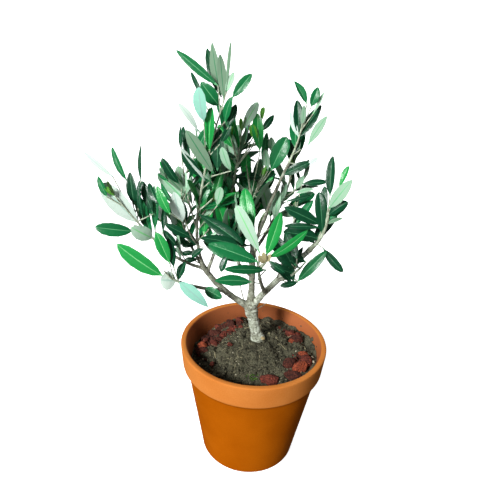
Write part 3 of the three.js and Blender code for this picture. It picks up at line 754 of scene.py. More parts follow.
leadLeaves = [
    lead("top", "Mid", root=(218, 86), tip=(176, 50), wide=0.6),
    lead("top", "Deep", root=(218, 93), tip=(207, 48), nearer=-4, wide=0.75, roll=20),
    lead("top", "Deep", root=(222, 94), tip=(212, 42), nearer=6, under=True, wide=0.7, roll=10),
    # given the Bright tone, a painted light, where the shadow of the leaf before it falls
    lead("top", "Bright", root=(227, 95), tip=(234, 72), under=True),
    lead("top", "Mid", root=(232, 98), tip=(252, 74), nearer=5, roll=25),
    lead("top", "Mid", root=(225, 122), tip=(232, 97), nearer=10, wide=1.25),
    lead("top", "Mid", root=(216, 106), tip=(201, 82), nearer=6, wide=1.5),
    lead("top", "Deep", root=(228, 128), tip=(236, 104)),
    lead("top", "Deep", root=(221, 143), tip=(231, 125), nearer=6, roll=10),
    lead("top", "Mid", root=(231, 171), tip=(222, 147), nearer=8, under=True, wide=1.1),
    lead("top", "Mint", root=(204, 122), tip=(199, 87), nearer=12, under=True, wide=1.3),
    lead("top", "Pale", root=(199, 131), tip=(178, 103), under=True, wide=0.8, roll=10),
    lead("top", "Bright", root=(211, 153), tip=(212, 107), nearer=20, roll=-12),
    lead("top", "Deep", root=(216, 170), tip=(219, 128), nearer=8),
    lead("top", "Deep", root=(213, 173), tip=(186, 130), nearer=14, under=True, wide=0.8, roll=20),
    lead("upper_left", "Deep", root=(184, 150), tip=(181, 126), wide=0.7),
    lead("left_front", "Deep", root=(181, 181), tip=(162, 158), nearer=10),
    lead("top", "Deep", root=(200, 179), tip=(182, 152), nearer=12, roll=10),
    lead("far_left", "Pale", root=(113, 177), tip=(84, 152), under=True, wide=0.55),
    lead("far_left", "Mid", root=(127, 181), tip=(112, 147), wide=0.65),
    lead("far_left", "Deep", root=(141, 181), tip=(141, 145), wide=0.4),
    lead("far_left", "Pale", root=(142, 220), tip=(101, 183), nearer=12, under=True, wide=1.25, clear=16),
    lead("far_left", "Deep", root=(140, 204), tip=(130, 172), nearer=4),
    lead("far_left", "Deep", root=(143, 218), tip=(140, 180), nearer=6, wide=0.6),
    lead("far_left", "Mid", root=(134, 231), tip=(95, 227), nearer=8, wide=1.3, clear=13),
    lead("far_left", "Bright", root=(153, 239), tip=(131, 227), nearer=14, under=True, wide=1.8),
    lead("far_left", "Mid", root=(155, 230), tip=(154, 185), nearer=6, wide=0.5, roll=25),
    lead("low_left", "Bright", root=(170, 264), tip=(156, 232), nearer=8),
    lead("low_left", "Deep", root=(174, 268), tip=(168, 238), nearer=4, roll=10),
    lead("far_left", "Mid", root=(178, 264), tip=(178, 234), under=True, wide=0.6),
    lead("low_left", "Bright", root=(163, 278), tip=(117, 244), nearer=8, wide=1.1),
    lead("low_left", "Mint", root=(178, 283), tip=(208, 307), nearer=10, under=True, wide=0.95),
    lead("low_left", "Deep", root=(179, 278), tip=(186, 262), wide=1.5),
    lead("left_front", "Pale", root=(181, 226), tip=(174, 192), nearer=16, under=True, wide=1.5),
    lead("left_front", "Deep", root=(194, 237), tip=(165, 224), nearer=8),
    # given the Bright tone, a painted light, where other leaves shade it
    lead("centre_top", "Bright", root=(245, 131), tip=(258, 102), nearer=4, under=True),
    lead("centre", "Bright", root=(260, 152), tip=(257, 113), nearer=8),
    lead("right_top", "Mid", root=(307, 104), tip=(294, 81), roll=10),
    lead("right_top", "Mid", root=(311, 107), tip=(318, 87), nearer=4, wide=1.6),
    lead("right_top", "Bright", root=(313, 114), tip=(324, 92), under=True, wide=0.5),
    lead("right_top", "Deep", root=(301, 137), tip=(297, 100), nearer=4),
    lead("right_top", "Mid", root=(307, 126), tip=(304, 105), nearer=6, under=True, roll=10),
    lead("right_top", "Pale", root=(299, 137), tip=(290, 112), nearer=2, under=True, wide=0.9),
    lead("right_top", "Mid", root=(305, 140), tip=(327, 116), nearer=8, under=True, wide=0.8),
    lead("centre", "Mid", root=(271, 171), tip=(287, 137), nearer=10, wide=1.25),
    lead("right_top", "Deep", root=(281, 174), tip=(311, 162), nearer=6),
    lead("right", "Deep", root=(330, 196), tip=(333, 156), wide=0.75),
    lead("right", "Mid", root=(332, 205), tip=(352, 180), nearer=10, under=True, wide=1.3),
    lead("right", "Deep", root=(332, 216), tip=(348, 202), nearer=6, wide=1.5),
    lead("right", "Deep", root=(328, 224), tip=(343, 218), nearer=4, under=True),
    lead("right", "Deep", root=(321, 234), tip=(319, 192), nearer=4, roll=10),
    lead("right", "Deep", root=(323, 248), tip=(343, 272), nearer=6),
    lead("right", "Deep", root=(316, 226), tip=(284, 207), nearer=6, roll=20),
    lead("front", "Bright", root=(260, 253), tip=(236, 205), nearer=6, under=True, wide=0.7),
    lead("front", "Bright", root=(252, 234), tip=(245, 188), nearer=-4),
    lead("front", "Bright", root=(266, 256), tip=(281, 212), wide=0.8, roll=40),
    lead("front", "Bright", root=(268, 258), tip=(308, 230), nearer=4, wide=0.75, roll=35),
    lead("front", "Mid", root=(262, 262), tip=(208, 244), nearer=4, wide=0.95),
    lead("front", "Deep", root=(240, 246), tip=(200, 238), roll=10),
    lead("front", "Mid", root=(266, 270), tip=(224, 269), nearer=27, wide=0.55),
    lead("front", "Mid", root=(252, 282), tip=(215, 281), nearer=10),
    lead("right_low", "Mid", root=(297, 282), tip=(327, 251), nearer=10, wide=0.75),
    lead("top", "Deep", root=(205, 104), tip=(191, 72), nearer=-6, wide=0.45),
    lead("centre_top", "Deep", root=(262, 131), tip=(274, 115), wide=1.2),
    lead("centre_top", "Young", root=(257, 141), tip=(252, 124), nearer=4, wide=1.6),
    lead("centre_top", "Young", root=(262, 120), tip=(264, 107), nearer=4, wide=1.5),
    lead("centre", "Mid", root=(268, 171), tip=(265, 149), nearer=6, under=True),
    lead("centre", "Mid", root=(273, 153), tip=(271, 137), nearer=2, under=True, wide=1.5),
    lead("centre", "Deep", root=(265, 172), tip=(236, 177), nearer=6, wide=1.2),
    lead("centre_top", "Deep", root=(236, 172), tip=(247, 128), under=True, wide=0.5),
    lead("right", "Bright", root=(339, 188), tip=(349, 166), nearer=2, wide=0.9),
    lead("right", "Deep", root=(323, 228), tip=(325, 186), wide=0.7),
    lead("right_inner", "Deep", root=(302, 184), tip=(328, 182), wide=0.8),
    lead("right_inner", "Mid", root=(296, 193), tip=(314, 189), nearer=4, under=True, wide=0.9),
    lead("right_inner", "Deep", root=(287, 201), tip=(312, 196), wide=0.5),
    lead("right", "Deep", root=(318, 238), tip=(283, 232), nearer=2, wide=1.6),
    lead("back_right", "Mid", root=(296, 190), tip=(304, 176), nearer=4, under=True, wide=1.3),
    lead("back_right", "Deep", root=(293, 190), tip=(289, 160), wide=0.55),
    lead("back_right", "Deep", root=(300, 181), tip=(296, 164), wide=0.6),
    lead("back_right", "Mid", root=(284, 205), tip=(287, 182), nearer=2, under=True, wide=0.9),
    lead("right_low", "Deep", root=(304, 259), tip=(281, 250), nearer=2, wide=1.1),
    lead("right_low", "Deep", root=(300, 268), tip=(276, 255), wide=1.2),
    lead("right_low", "Deep", root=(292, 272), tip=(270, 266), nearer=2),
    lead("right_low", "Dry", root=(284, 275), tip=(289, 262), nearer=4, under=True, wide=1.6),
    lead("right_inner", "Deep", root=(282, 255), tip=(292, 243), nearer=-4, wide=1.4),
    lead("right_low", "Deep", root=(291, 264), tip=(270, 243), nearer=-4, wide=0.9),
    lead("right_low", "Deep", root=(288, 270), tip=(303, 247), nearer=-2, wide=0.8),
    lead("front", "Deep", root=(268, 260), tip=(285, 273)),
    lead("front", "Dry", root=(266, 263), tip=(258, 256), nearer=6, wide=1.3),
    lead("front", "Dry", root=(266, 262), tip=(271, 254), nearer=6, wide=1.3),
    lead("front", "Dry", root=(265, 262), tip=(264, 252), nearer=8, wide=1.2),
    lead("left_back", "Deep", root=(191, 247), tip=(176, 238), wide=1.2),
    lead("left_back", "Deep", root=(198, 251), tip=(180, 254), wide=1.1),
    lead("left_front", "Deep", root=(201, 241), tip=(186, 231), wide=1.2),
    lead("far_left", "Deep", root=(178, 247), tip=(163, 230), wide=1.1),
    lead("left_back", "Deep", root=(186, 256), tip=(173, 248)),
    lead("far_left", "Mid", root=(107, 197), tip=(98, 176), nearer=2, wide=1.2),
    lead("top", "Deep", root=(225, 88), tip=(231, 41), under=True, wide=0.2),
    lead("far_left", "Deep", root=(153, 214), tip=(142, 181), wide=0.9),
    lead("left_front", "Deep", root=(160, 206), tip=(149, 183), nearer=-6, wide=0.9),
    lead("left_front", "Mid", root=(176, 206), tip=(161, 183), nearer=-6, wide=0.8),
    lead("upper_left", "Deep", root=(188, 162), tip=(183, 126), wide=0.7),
    lead("low_centre", "Mid", root=(238, 263), tip=(203, 241), nearer=-4, wide=0.9),
    lead("centre", "Mid", root=(263, 166), tip=(267, 132), nearer=-4, wide=0.75),
    lead("right", "Mid", root=(332, 222), tip=(348, 202), nearer=-4, wide=0.8),
    lead("right", "Deep", root=(316, 229), tip=(284, 226), nearer=-4, wide=0.6),
    lead("right_inner", "Dry", root=(282, 276), tip=(290, 263), nearer=6, wide=1.5),
    lead("right_low", "Deep", root=(294, 282), tip=(283, 252)),
    lead("right_low", "Deep", root=(292, 284), tip=(274, 262), wide=0.9),
    lead("right_top", "Mid", root=(275, 224), tip=(279, 190), under=True, wide=0.95),
    lead("right_top", "Young", root=(262, 236), tip=(269, 209), under=True),
    lead("top", "Pale", root=(205, 181), tip=(180, 147), nearer=14, under=True, wide=0.42),
    lead("top", "Deep", root=(199, 214), tip=(243, 245), nearer=14, wide=0.75),
    lead("right_low", "Deep", root=(291, 263), tip=(273, 235), nearer=-6, wide=1.1),
    lead("right_low", "Deep", root=(297, 259), tip=(285, 232), nearer=-8, wide=1.2),
    lead("right", "Deep", root=(316, 244), tip=(297, 229), nearer=-6, wide=1.2),
    lead("top", "Deep", root=(224, 100), tip=(220, 54), under=True, wide=0.6),
    lead("right_low", "Deep", root=(298, 282), tip=(280, 286), nearer=2, wide=1.1),
    lead("low_left", "Mid", root=(204, 288), tip=(222, 298), nearer=4, wide=1.6),
    lead("low_centre", "Deep", root=(228, 255), tip=(221, 272), wide=1.3),
    lead("left_back", "Deep", root=(191, 226), tip=(178, 196), wide=1.2),
    lead("low_left", "Pale", root=(176, 282), tip=(160, 280), nearer=6, under=True, wide=3.2),
    lead("left_back", "Deep", root=(198, 244), tip=(182, 246), wide=1.2),
    lead("left_back", "Deep", root=(200, 258), tip=(184, 261), wide=1.2),
    lead("left_front", "Deep", root=(204, 248), tip=(192, 257), wide=1.3),
    lead("top", "Mid", root=(204, 206), tip=(209, 186), nearer=4, wide=1.3),
    lead("top", "Mid", root=(217, 206), tip=(221, 187), nearer=6, under=True, wide=1.3),
    lead("left_front", "Bright", root=(169, 215), tip=(157, 186), nearer=4),
    lead("far_left", "Deep", root=(163, 232), tip=(164, 206), wide=0.6),
    lead("left_back", "Deep", root=(186, 240), tip=(172, 232), wide=1.2),
    lead("right_top", "Pale", root=(306, 166), tip=(318, 158), nearer=4, under=True, wide=1.3),
]
# openings in the crown and bays at its edge that the other leaves keep out of, in the photograph's pixels
openPlaces = [
    dict(middle=(112, 206), reach=19), dict(middle=(128, 212), reach=9), dict(middle=(157, 142), reach=13),
    dict(middle=(172, 136), reach=12), dict(middle=(243, 108), reach=9), dict(middle=(284, 101), reach=9),
    dict(middle=(318, 146), reach=11), dict(middle=(334, 146), reach=12), dict(middle=(298, 220), reach=8),
    dict(middle=(296, 205), reach=5), dict(middle=(262, 212), reach=8), dict(middle=(341, 234), reach=11),
    dict(middle=(318, 170), reach=6), dict(middle=(150, 262), reach=9), dict(middle=(98, 170), reach=12),
    dict(middle=(270, 100), reach=9), dict(middle=(205, 268), reach=10), dict(middle=(231, 66), reach=5),
    dict(middle=(257, 222), reach=6),
]
view = dict(place=np.array([0, -400, 412]), pitch=24.51, yaw=-2.59, roll=2.88, lens=37.5, sensor=36,
            pixels=480, nearest=10)


def cameraAxes():
    # the photograph's camera, fitted to the pot: its right, up and forward, from its pitch, yaw and roll
    pitch, yaw, roll = np.radians([view["pitch"], view["yaw"], view["roll"]])
    forward = np.array([np.sin(yaw) * np.cos(pitch), np.cos(yaw) * np.cos(pitch), -np.sin(pitch)])
    right = unit(np.cross(forward, [0, 0, 1]))
    up = np.cross(right, forward)
    return right * np.cos(roll) + up * np.sin(roll), up * np.cos(roll) - right * np.sin(roll), forward


def inPicture(points):
    # where points fall in the photograph, in pixels from its upper left corner
    right, up, forward = cameraAxes()
    seen = points - view["place"]
    across = np.stack([seen @ right, -(seen @ up)], -1) / (seen @ forward)[..., None]
    return view["pixels"] * (0.5 + across * view["lens"] / view["sensor"])


def fromPicture(pixel, depth):
    # the point that falls on a pixel, depth millimetres in front of the camera
    right, up, forward = cameraAxes()
    across, down = (np.array(pixel) / view["pixels"] - 0.5) * view["sensor"] / view["lens"]
    return view["place"] + depth * (forward + across * right - down * up)


def growLeadTwig(name, foot, end, seed):
    # a thin straight twig out to a lead leaf that stands away from its mass's shoots
    length = np.linalg.norm(end - foot)
    heading, rise = headingAndRise((end - foot) / length)
    twig = Limb(name, foot, dict(heading=heading, rise=rise, length=length), leadRule["twigRadius"],
                leadRule["twigTip"], stemRule["step"])
    return dict(shoot=twig, seed=seed, size=leadRule["twigSize"], pairs=1, phase=0, leaves=[], bears=True)


def growLeads():
    # each starts on the shoot of its mass that passes nearest its root in the picture, or on a twig from
    # there, and ends on its tip
    grown, twigs, shares, forward = [], [], np.linspace(0, 1, leadRule["places"]), cameraAxes()[2]
    for i, leaf in enumerate(leadLeaves):
        name, seed, under = leaf["mass"] + "_foliage", leadRule["seed"] + i, leaf["under"]
        shoots = [limbs[leaf["mass"]], *(spray["shoot"] for spray in sprays if spray["shoot"].name == name)]
        spots = np.concatenate([shoot.pointAt(shares) for shoot in shoots])
        away = np.linalg.norm(inPicture(spots) - leaf["root"], axis=1)
        nearest = away.argmin()
        root = spots[nearest]
        depth = (root - view["place"]) @ forward
        if away[nearest] > leadRule["twigFrom"]:
            shoot, place = divmod(nearest, len(shares))
            back = leadRule["slant"] * away[nearest] / shoots[shoot].length
            foot = shoots[shoot].pointAt(max(0, shares[place] - back))
            root = fromPicture(leaf["root"], depth)
            twigs.append(growLeadTwig(name, foot, root, seed))
        reach = fromPicture(leaf["tip"], depth - leaf["nearer"]) - root
        line, span = unit(reach), np.linalg.norm(reach)
        draw = seeded(seed)
        facing = unit(leadRule["front"] - line * line.dot(leadRule["front"]))
        roll = leaf["roll"] + leadRule["roll"] * (next(draw) - 0.5)
        facing = turnedFrom(facing, np.cross(line, facing), roll) * (-1 if under else 1)
        bend = mix(*leadRule["bend"], next(draw)) * (1 if under else -1)
        # the leaf sets off to one side of the straight line to its tip and bends back
        cosine, sine = math.cos(math.atan(bend)), math.sin(math.atan(bend))
        grown.append(dict(leaf, mass=name, root=root, along=line * cosine - facing * sine, bend=bend,
                          upper=facing * cosine + line * sine, length=span * cosine, seed=seed,
                          fold=leadRule["underFold"] if under else 1))
    return grown, twigs


def clearOfLeads(spray):
    # those leaves of a spray that don't hang, cross an opening, touch a lead leaf or stand before one
    kept = []
    own = np.array([leaf["mass"] == spray["shoot"].name for leaf in leads])
    space = np.where(own, leadRule["ownRoom"], leadRule["otherRoom"])
    for leaf in spray["leaves"]:
        middle = leafMiddle(leaf, leafSpotShares)[1:]
        seen = inPicture(middle)
        apart = np.linalg.norm(middle[:, None, None] - leadSpots, axis=-1).min((0, 2))
        beside = np.linalg.norm(seen[:, None, None] - leadPixels, axis=-1).min((0, 2))
        nearer = (leadSpots.mean(1) - middle.mean(0)) @ cameraAxes()[2] > -leadRule["behind"]
        inOpening = np.linalg.norm(seen[:, None] - openMiddles, axis=-1) < openReaches
        inTheWay = (apart < space) | (nearer & (beside < leadClear))
        if leaf["along"][2] > leadRule["lowest"] and not inTheWay.any() and not inOpening.any():
            kept.append(leaf)
    return kept


openMiddles, openReaches = gathered(openPlaces, "middle", "reach")
leads, leadTwigs = growLeads()
sprays += leadTwigs
leadClear = np.array([leaf["clear"] for leaf in leads])
leadSpots = np.array([leafMiddle(leaf, leadRule["spotShares"]) for leaf in leads])
leadPixels = inPicture(leadSpots)
for leaf in leads:
    room.add(leafSpots(leaf["mass"], leaf))
for spray in sprays:
    spray["leaves"] = clearOfLeads(spray)
print("lead leaves:", len(leads), "with", leafCount(sprays), "others left")


# Finer growth within the same reach: pairs between the pairs, twigs along the boughs, sprigs in the leaf
# angles and young leaves folded at some tips

fineShare = 0.42  # how much of the usual room the finer growth keeps to what is there already
betweenRule = dict(size=0.84, turn=48, below=1.15, seed=300)
# the inner twigs' leaves are dealt a little darker tones, painted shade for their place within the crown
innerRule = dict(every=17, span=(0.34, 0.97), lowest=212, length=22, longer=(0.75, 1.25), radius=0.8,
                 radiusShare=0.6, leaf=0.96, larger=(0.85, 1.15), pairs=3, reach=13, paintedShade=0.05, tries=5,
                 turn=137, boughTurn=60, tryTurn=71, seed=70000, boughDraws=100, boughSeeds=4000,
                 twigSeeds=60)
sprigRule = dict(place=0.3, chance=0.4, length=9, radius=0.5, leaf=0.46, larger=(0.8, 1.3), pairs=2,
                 turn=(20, 70), seed=600, pairSeeds=8)
youngRule = dict(pairs=[dict(size=0.34, spread=16), dict(size=0.2, spread=9)], chance=0.32, swing=30,
                 larger=(0.8, 1.3), sunk=0.5, bend=(-0.1, 0.1), seed=603, pairSeeds=7)


def growBetween(spray):
    # a smaller pair half-way between each two pairs of a shoot
    leaves = []
    for pair in range(spray["pairs"] - 1):
        around = spray["phase"] + 90 * pair + betweenRule["turn"]
        for half in range(2):
            leaves += growLeaf(spray["shoot"], pairShare(spray, pair + 0.5), around + 180 * half,
                               spray["size"] * betweenRule["size"],
                               spray["seed"] + betweenRule["seed"] + 2 * pair + half, fineShare)
    return leaves


def growInner(bough, seed):
    # leafy twigs along a bough, wherever it is high enough and there is room
    grown = []
    for k in range(int(bough.length / innerRule["every"])):
        share = mix(*innerRule["span"], (k + 0.5) * innerRule["every"] / bough.length)
        if bough.pointAt(share)[2] < innerRule["lowest"]:
            continue
        draw = seeded(innerRule["seed"] + innerRule["boughDraws"] * seed + k)
        radius = min(innerRule["radius"], innerRule["radiusShare"] * bough.radiusAt(share))
        for attempt in range(innerRule["tries"]):
            around = innerRule["turn"] * k + innerRule["boughTurn"] * seed + innerRule["tryTurn"] * attempt
            length = innerRule["length"] * mix(*innerRule["longer"], next(draw))
            twig = growTwig(bough, share, around, length, radius)
            within = np.linalg.norm(crownSpots - twig.points[-1], axis=1).min() < innerRule["reach"]
            if within and room.isClear(twig.spots, fineShare):
                room.add(twig.spots)
                size = innerRule["leaf"] * mix(*innerRule["larger"], next(draw))
                twigSeed = innerRule["seed"] + innerRule["boughSeeds"] * seed + innerRule["twigSeeds"] * k
                spray = growSpray(twig, innerRule["pairs"], around, size, twigSeed, fineShare)
                grown.append(dict(spray, paintedShade=innerRule["paintedShade"]))
                break
    return grown


def growSprigs(spray):
    # short sprigs with two small pairs in some of the leaf angles
    grown, draw = [], seeded(sprigRule["seed"] + spray["seed"])
    for pair in range(spray["pairs"] - 1):
        around = spray["phase"] + 90 * pair + mix(*sprigRule["turn"], next(draw))
        if next(draw) > sprigRule["chance"]:
            continue
        twig = growTwig(spray["shoot"], pairShare(spray, pair + sprigRule["place"]), around,
                        sprigRule["length"], sprigRule["radius"])
        size = spray["size"] * sprigRule["leaf"] * mix(*sprigRule["larger"], next(draw))
        seed = spray["seed"] + sprigRule["seed"] + sprigRule["pairSeeds"] * pair
        grown.append(growSpray(twig, sprigRule["pairs"], around, size, seed, fineShare))
    return grown


def growTip(spray):
    # two small pairs still folded round the ends of some shoots
    leaves, shoot, draw = [], spray["shoot"], seeded(spray["seed"] + youngRule["seed"])
    if next(draw) > youngRule["chance"]:
        return []
    along, side = shoot.directionAt(1.0), shoot.sideAt(1.0)
    across = np.cross(side, along)
    for pair, young in enumerate(youngRule["pairs"]):
        for half in range(2):
            around = spray["phase"] + 90 * (spray["pairs"] + pair) + 180 * half
            outward = turnedFrom(side, across, around + youngRule["swing"] * (next(draw) - 0.5))
            larger = mix(*youngRule["larger"], next(draw))
            leaves.append(dict(
                root=shoot.points[-1] - youngRule["sunk"] * along,
                along=turnedFrom(along, outward, young["spread"]),
                upper=turnedFrom(-outward, along, young["spread"]),
                length=leafRule["length"] * spray["size"] * young["size"] * larger,
                bend=mix(*youngRule["bend"], next(draw)),
                share=1.0, seed=spray["seed"] + youngRule["pairSeeds"] * pair + half))
    return leaves


crownSpots = room.points[room.outer]  # where leaves stand so far, which the finer growth keeps near
for spray in sprays:
    if spray["size"] < betweenRule["below"]:
        spray["leaves"] += growBetween(spray)
for seed, bough in enumerate(list(limbs.values())[1:]):
    sprays += growInner(bough, seed)
sprigs = [sprig for spray in sprays for sprig in growSprigs(spray)]
for spray in [*sprays, *sprigs]:
    spray["leaves"] = clearOfLeads(spray)
sprays = [spray for spray in sprays
          if len(spray["leaves"]) > 1 or spray["shoot"] in stems or "bears" in spray]
sprigs = [sprig for sprig in sprigs if sprig["leaves"]]
youngLeaves = [leaf for spray in sprays if spray["leaves"] for leaf in growTip(spray)]
print("finer growth:", len(sprays), "sprays,", len(sprigs), "sprigs,",
      leafCount([*sprays, *sprigs]) + len(youngLeaves), "leaves besides the lead leaves")


# Wood: the trunk and the boughs with the relief of their bark, and the twigs

wood = dict(trunkAround=56, boughAround=20, twigAround=8, rowLength=1.0, twigRowLength=2.2, fewestRows=4,
            domeRows=5, domeEnd=0.3, collarSwell=0.55, collarReach=1.4, twigSwell=0.3, twigParent=1.0,
            lumps=0.09, lumpStretch=(1, 1, 0.6), lumpSize=1.2,
            furrow=0.07, furrowStretch=(1, 1, 0.18), furrowSize=0.34, furrowLeast=0.25, furrowWidth=0.2,
            rings=0.08, ringStretch=(0.5, 0.5, 1), ringSize=0.8,
            paleLimbs=("trunk", "right"), deadTip=0.6, deadStep=4, apart=40, twigSeed=50)
barks = {
    "trunkBark": dict(ground=tint(152, 158, 139), patch=tint(202, 210, 193), crack=tint(80, 74, 57),
                      patchShare=0.5, ringShare=0.7, bump=0.35),
    "boughBark": dict(ground=tint(122, 124, 108), patch=tint(176, 182, 164), crack=tint(64, 60, 48),
                      patchShare=0.42, ringShare=0.2, bump=0.2),
    "cutRoot": dict(ground=tint(142, 124, 88), patch=tint(188, 170, 128), crack=tint(64, 60, 48),
                    patchShare=0.5, ringShare=0.2, bump=0.2),
    "twigBark": dict(ground=tint(140, 150, 126), patch=tint(190, 202, 178), crack=tint(84, 84, 60),
                     patchShare=0.5, ringShare=0.2, bump=0.08)}
woodBarks = ["trunkBark", "boughBark", "cutRoot"]
# swellings of the trunk: heading round it, height up it, spread round and along, and how far they stand out
trunkSwellings = [
    dict(heading=325, height=4, round=0.5, along=3.2, out=0.3),
    dict(heading=195, height=33, round=0.7, along=6, out=0.3),
    dict(heading=350, height=35, round=0.6, along=6, out=0.24),
    dict(heading=200, height=18, round=0.4, along=2.6, out=0.26)]
# small dead shoots and a cut root: their parent, place on it, aim, length, radius and bark
deadShoots = [
    dict(parent="trunk", at=0.47, heading=205, rise=42, length=8, radius=1.7, bark="trunkBark"),
    dict(parent="left", at=0.1, heading=160, rise=66, lift=12, length=24, radius=0.62, bark="boughBark"),
    dict(parent="trunk", at=0.1, heading=322, rise=8, length=8.2, radius=2.5, bark="cutRoot"),
    dict(parent="trunk", at=0.8, heading=10, rise=24, lift=20, length=17, radius=0.5, bark="boughBark")]


def limbRings(limb, around, rowLength, swell, parentRadius, seed):
    # rings round a limb's curve: its radius, a collar that swells where it leaves its parent, lumps, furrows
    # along it, wrinkles round it and a round end; with each point's place along and about the limb
    rows = max(wood["fewestRows"], math.ceil(limb.length / rowLength))
    dome = np.arange(1, wood["domeRows"] + 1) / (wood["domeRows"] + wood["domeEnd"]) * np.pi / 2
    share = np.concatenate([np.linspace(0, 1, rows), np.ones(len(dome))])
    beyond = np.concatenate([np.zeros(rows), np.sin(dome) * limb.radiusAt(1.0)])
    shrink = np.concatenate([np.ones(rows), np.cos(dome)])
    along, side = limb.directionAt(share), limb.sideAt(share)
    across = np.cross(along, side)
    centre = limb.curveAt(share) + along * beyond[:, None]
    length = share * limb.length + beyond
    collar = np.exp(-(length / max(1e-6, wood["collarReach"] * parentRadius)) ** 2)
    radius = limb.radiusAt(share) * (1 + swell * collar)
    angle = np.arange(around) * 2 * np.pi / around
    ring = np.cos(angle)[None, :, None] * side[:, None] + np.sin(angle)[None, :, None] * across[:, None]
    place = np.stack([radius[:, None] * np.cos(angle), radius[:, None] * np.sin(angle),
                      np.repeat(length[:, None], around, 1)], -1)
    lumps = cloud(place * wood["lumpStretch"] + seed, wood["lumpSize"] * radius.mean(), seed)
    furrowSize = wood["furrowSize"] * radius.mean() + wood["furrowLeast"]
    ridges = cloud(place * wood["furrowStretch"] + seed, furrowSize, seed + 1)
    wrinkles = cloud(place * wood["ringStretch"] + seed, wood["ringSize"], seed + 2)
    furrows = np.exp(-(ridges / wood["furrowWidth"]) ** 2)
    relief = 1 + wood["lumps"] * lumps - wood["furrow"] * furrows + wood["rings"] * wrinkles
    for swelling in trunkSwellings if limb.name == "trunk" else []:
        facing = ring @ aim(swelling["heading"], 0.0)
        turn = np.arccos(np.clip(facing, -1, 1)) / swelling["round"]
        rise = (length - swelling["height"])[:, None] / swelling["along"]
        relief = relief + swelling["out"] * np.exp(-turn ** 2 - rise ** 2)
    points = centre[:, None] + ((radius * shrink)[:, None] * relief)[..., None] * ring
    return points, place


def barkMaterial(name):
    material, tree, shader, _ = newMaterial(name, roughness=0.82, shine=0.3)
    look = barks[name]
    place = addNode(tree, "Attribute", attribute_name="limbPlace").outputs["Vector"]
    bark = useGroup(tree, barkGroup, {
        "Place": place, "Ground": look["ground"], "Patch": look["patch"], "Crack": look["crack"],
        "Patch Share": look["patchShare"], "Ring Share": look["ringShare"]})
    setInputs(tree, shader, {"Base Color": bark["Color"]})
    raiseBy(tree, shader, bark["Height"], strength=0.8, distance=look["bump"])
    return material


def makeTubes(name, tubes, materials, nodes, kinds):
    # tubes of rings as one piece, each with its kind's material and a stretch of bark of its own
    parts = [(rings, tubeFaces(*rings.shape[:2])) for rings, _ in tubes]
    points, faces = joined(parts)
    faceSlots = [np.full(len(face), kind) for part, kind in zip(parts, kinds) for face in part[1]]
    piece = makePiece(name, points, faces, materials, nodes, np.concatenate(faceSlots))
    places = [place.reshape(-1, 3) + [0, 0, wood["apart"] * i] for i, (_, place) in enumerate(tubes)]
    writeVectors(piece, "limbPlace", np.concatenate(places))


def makeWood():
    # the trunk, the boughs and the dead shoots
    grown = list(limbs.values())
    # the trunk has the paler bark; so does the right bough, partly as painted light where the light falls on
    # it, while the other boughs have the darker bark, partly as painted shade
    kinds = [woodBarks.index("trunkBark" if name in wood["paleLimbs"] else "boughBark") for name in limbs]
    for shape in deadShoots:
        foot = limbs[shape["parent"]].pointAt(shape["at"])
        grown.append(Limb("dead", foot, shape, shape["radius"], wood["deadTip"] * shape["radius"],
                          wood["deadStep"]))
        kinds.append(woodBarks.index(shape["bark"]))
    tubes = [limbRings(grown[0], wood["trunkAround"], wood["rowLength"], swell=0, parentRadius=0, seed=0)]
    for seed, limb in enumerate(grown[1:], 1):
        tubes.append(limbRings(limb, wood["boughAround"], wood["rowLength"], wood["collarSwell"],
                               limb.footRadius / limbRule["footShare"], seed))
    nodes = ["trunk", *(shape["name"] + "_bough" for shape in boughShapes)]
    makeTubes("trunkAndBoughs", tubes, [barkMaterial(name) for name in woodBarks], nodes, kinds)


def makeTwigs():
    # the shoots that bear leaves
    tubes = [limbRings(spray["shoot"], wood["twigAround"], wood["twigRowLength"], wood["twigSwell"],
                       wood["twigParent"], wood["twigSeed"] + i)
             for i, spray in enumerate([*sprays, *sprigs])]
    makeTubes("leafyTwigs", tubes, [barkMaterial("twigBark")], massNodes, [0] * len(tubes))


massNodes = [shape["bough"] + "_foliage" for shape in massShapes]
makeWood()
makeTwigs()


# Leaves: folded blades with a rib, dark and glossy above, pale and felted below

leafForm = dict(
    shorter=0.84, width=0.33, widthRange=(0.84, 1.12), baseFill=(0.62, 0.85), tipFill=(0.5, 0.8),
    fullLength=22, smallest=0.25, stalk=0.05, stalkHalf=0.6, tipHalf=0.1, stalkSpan=(0.1, 1),
    bladeSpan=(0.02, 0.2), stalkRows=2,
    rows=np.array([0, 0.035, 0.08, 0.18, 0.38, 0.6, 0.81, 0.95, 1]),
    upperPlaces=np.array([-1, -0.5, -0.05, 0.05, 0.5, 1]), lowerPlaces=np.array([0.1, -0.1]), ribPlace=0.2,
    fold=0.62, foldRange=(0.5, 1.3), curl=0.26, ripple=0.07, ripples=9, rippleStart=6, twist=28,
    groove=0.16, ribDepth=0.3, ribAtTip=0.3, thickness=0.45, draws=5, seed=31,
    light=np.array([-0.5, -0.55, 0.67]), turnShare=0.36, turnSeed=13, rollShare=1.1)
toneRule = dict(chance=0.72, towardsTip=0.2, bySpray=0.3, start=0.04, freshest=0.999, spraySeed=5,
                leafSeed=77)


def leafTone(upper, rib, under, shine, share=0):
    # the colours of a kind of leaf, the shine of its upper side, and its share of the leaves of the sprays
    return dict(upper=tint(*upper), rib=tint(*rib), under=tint(*under), shine=shine, share=share)


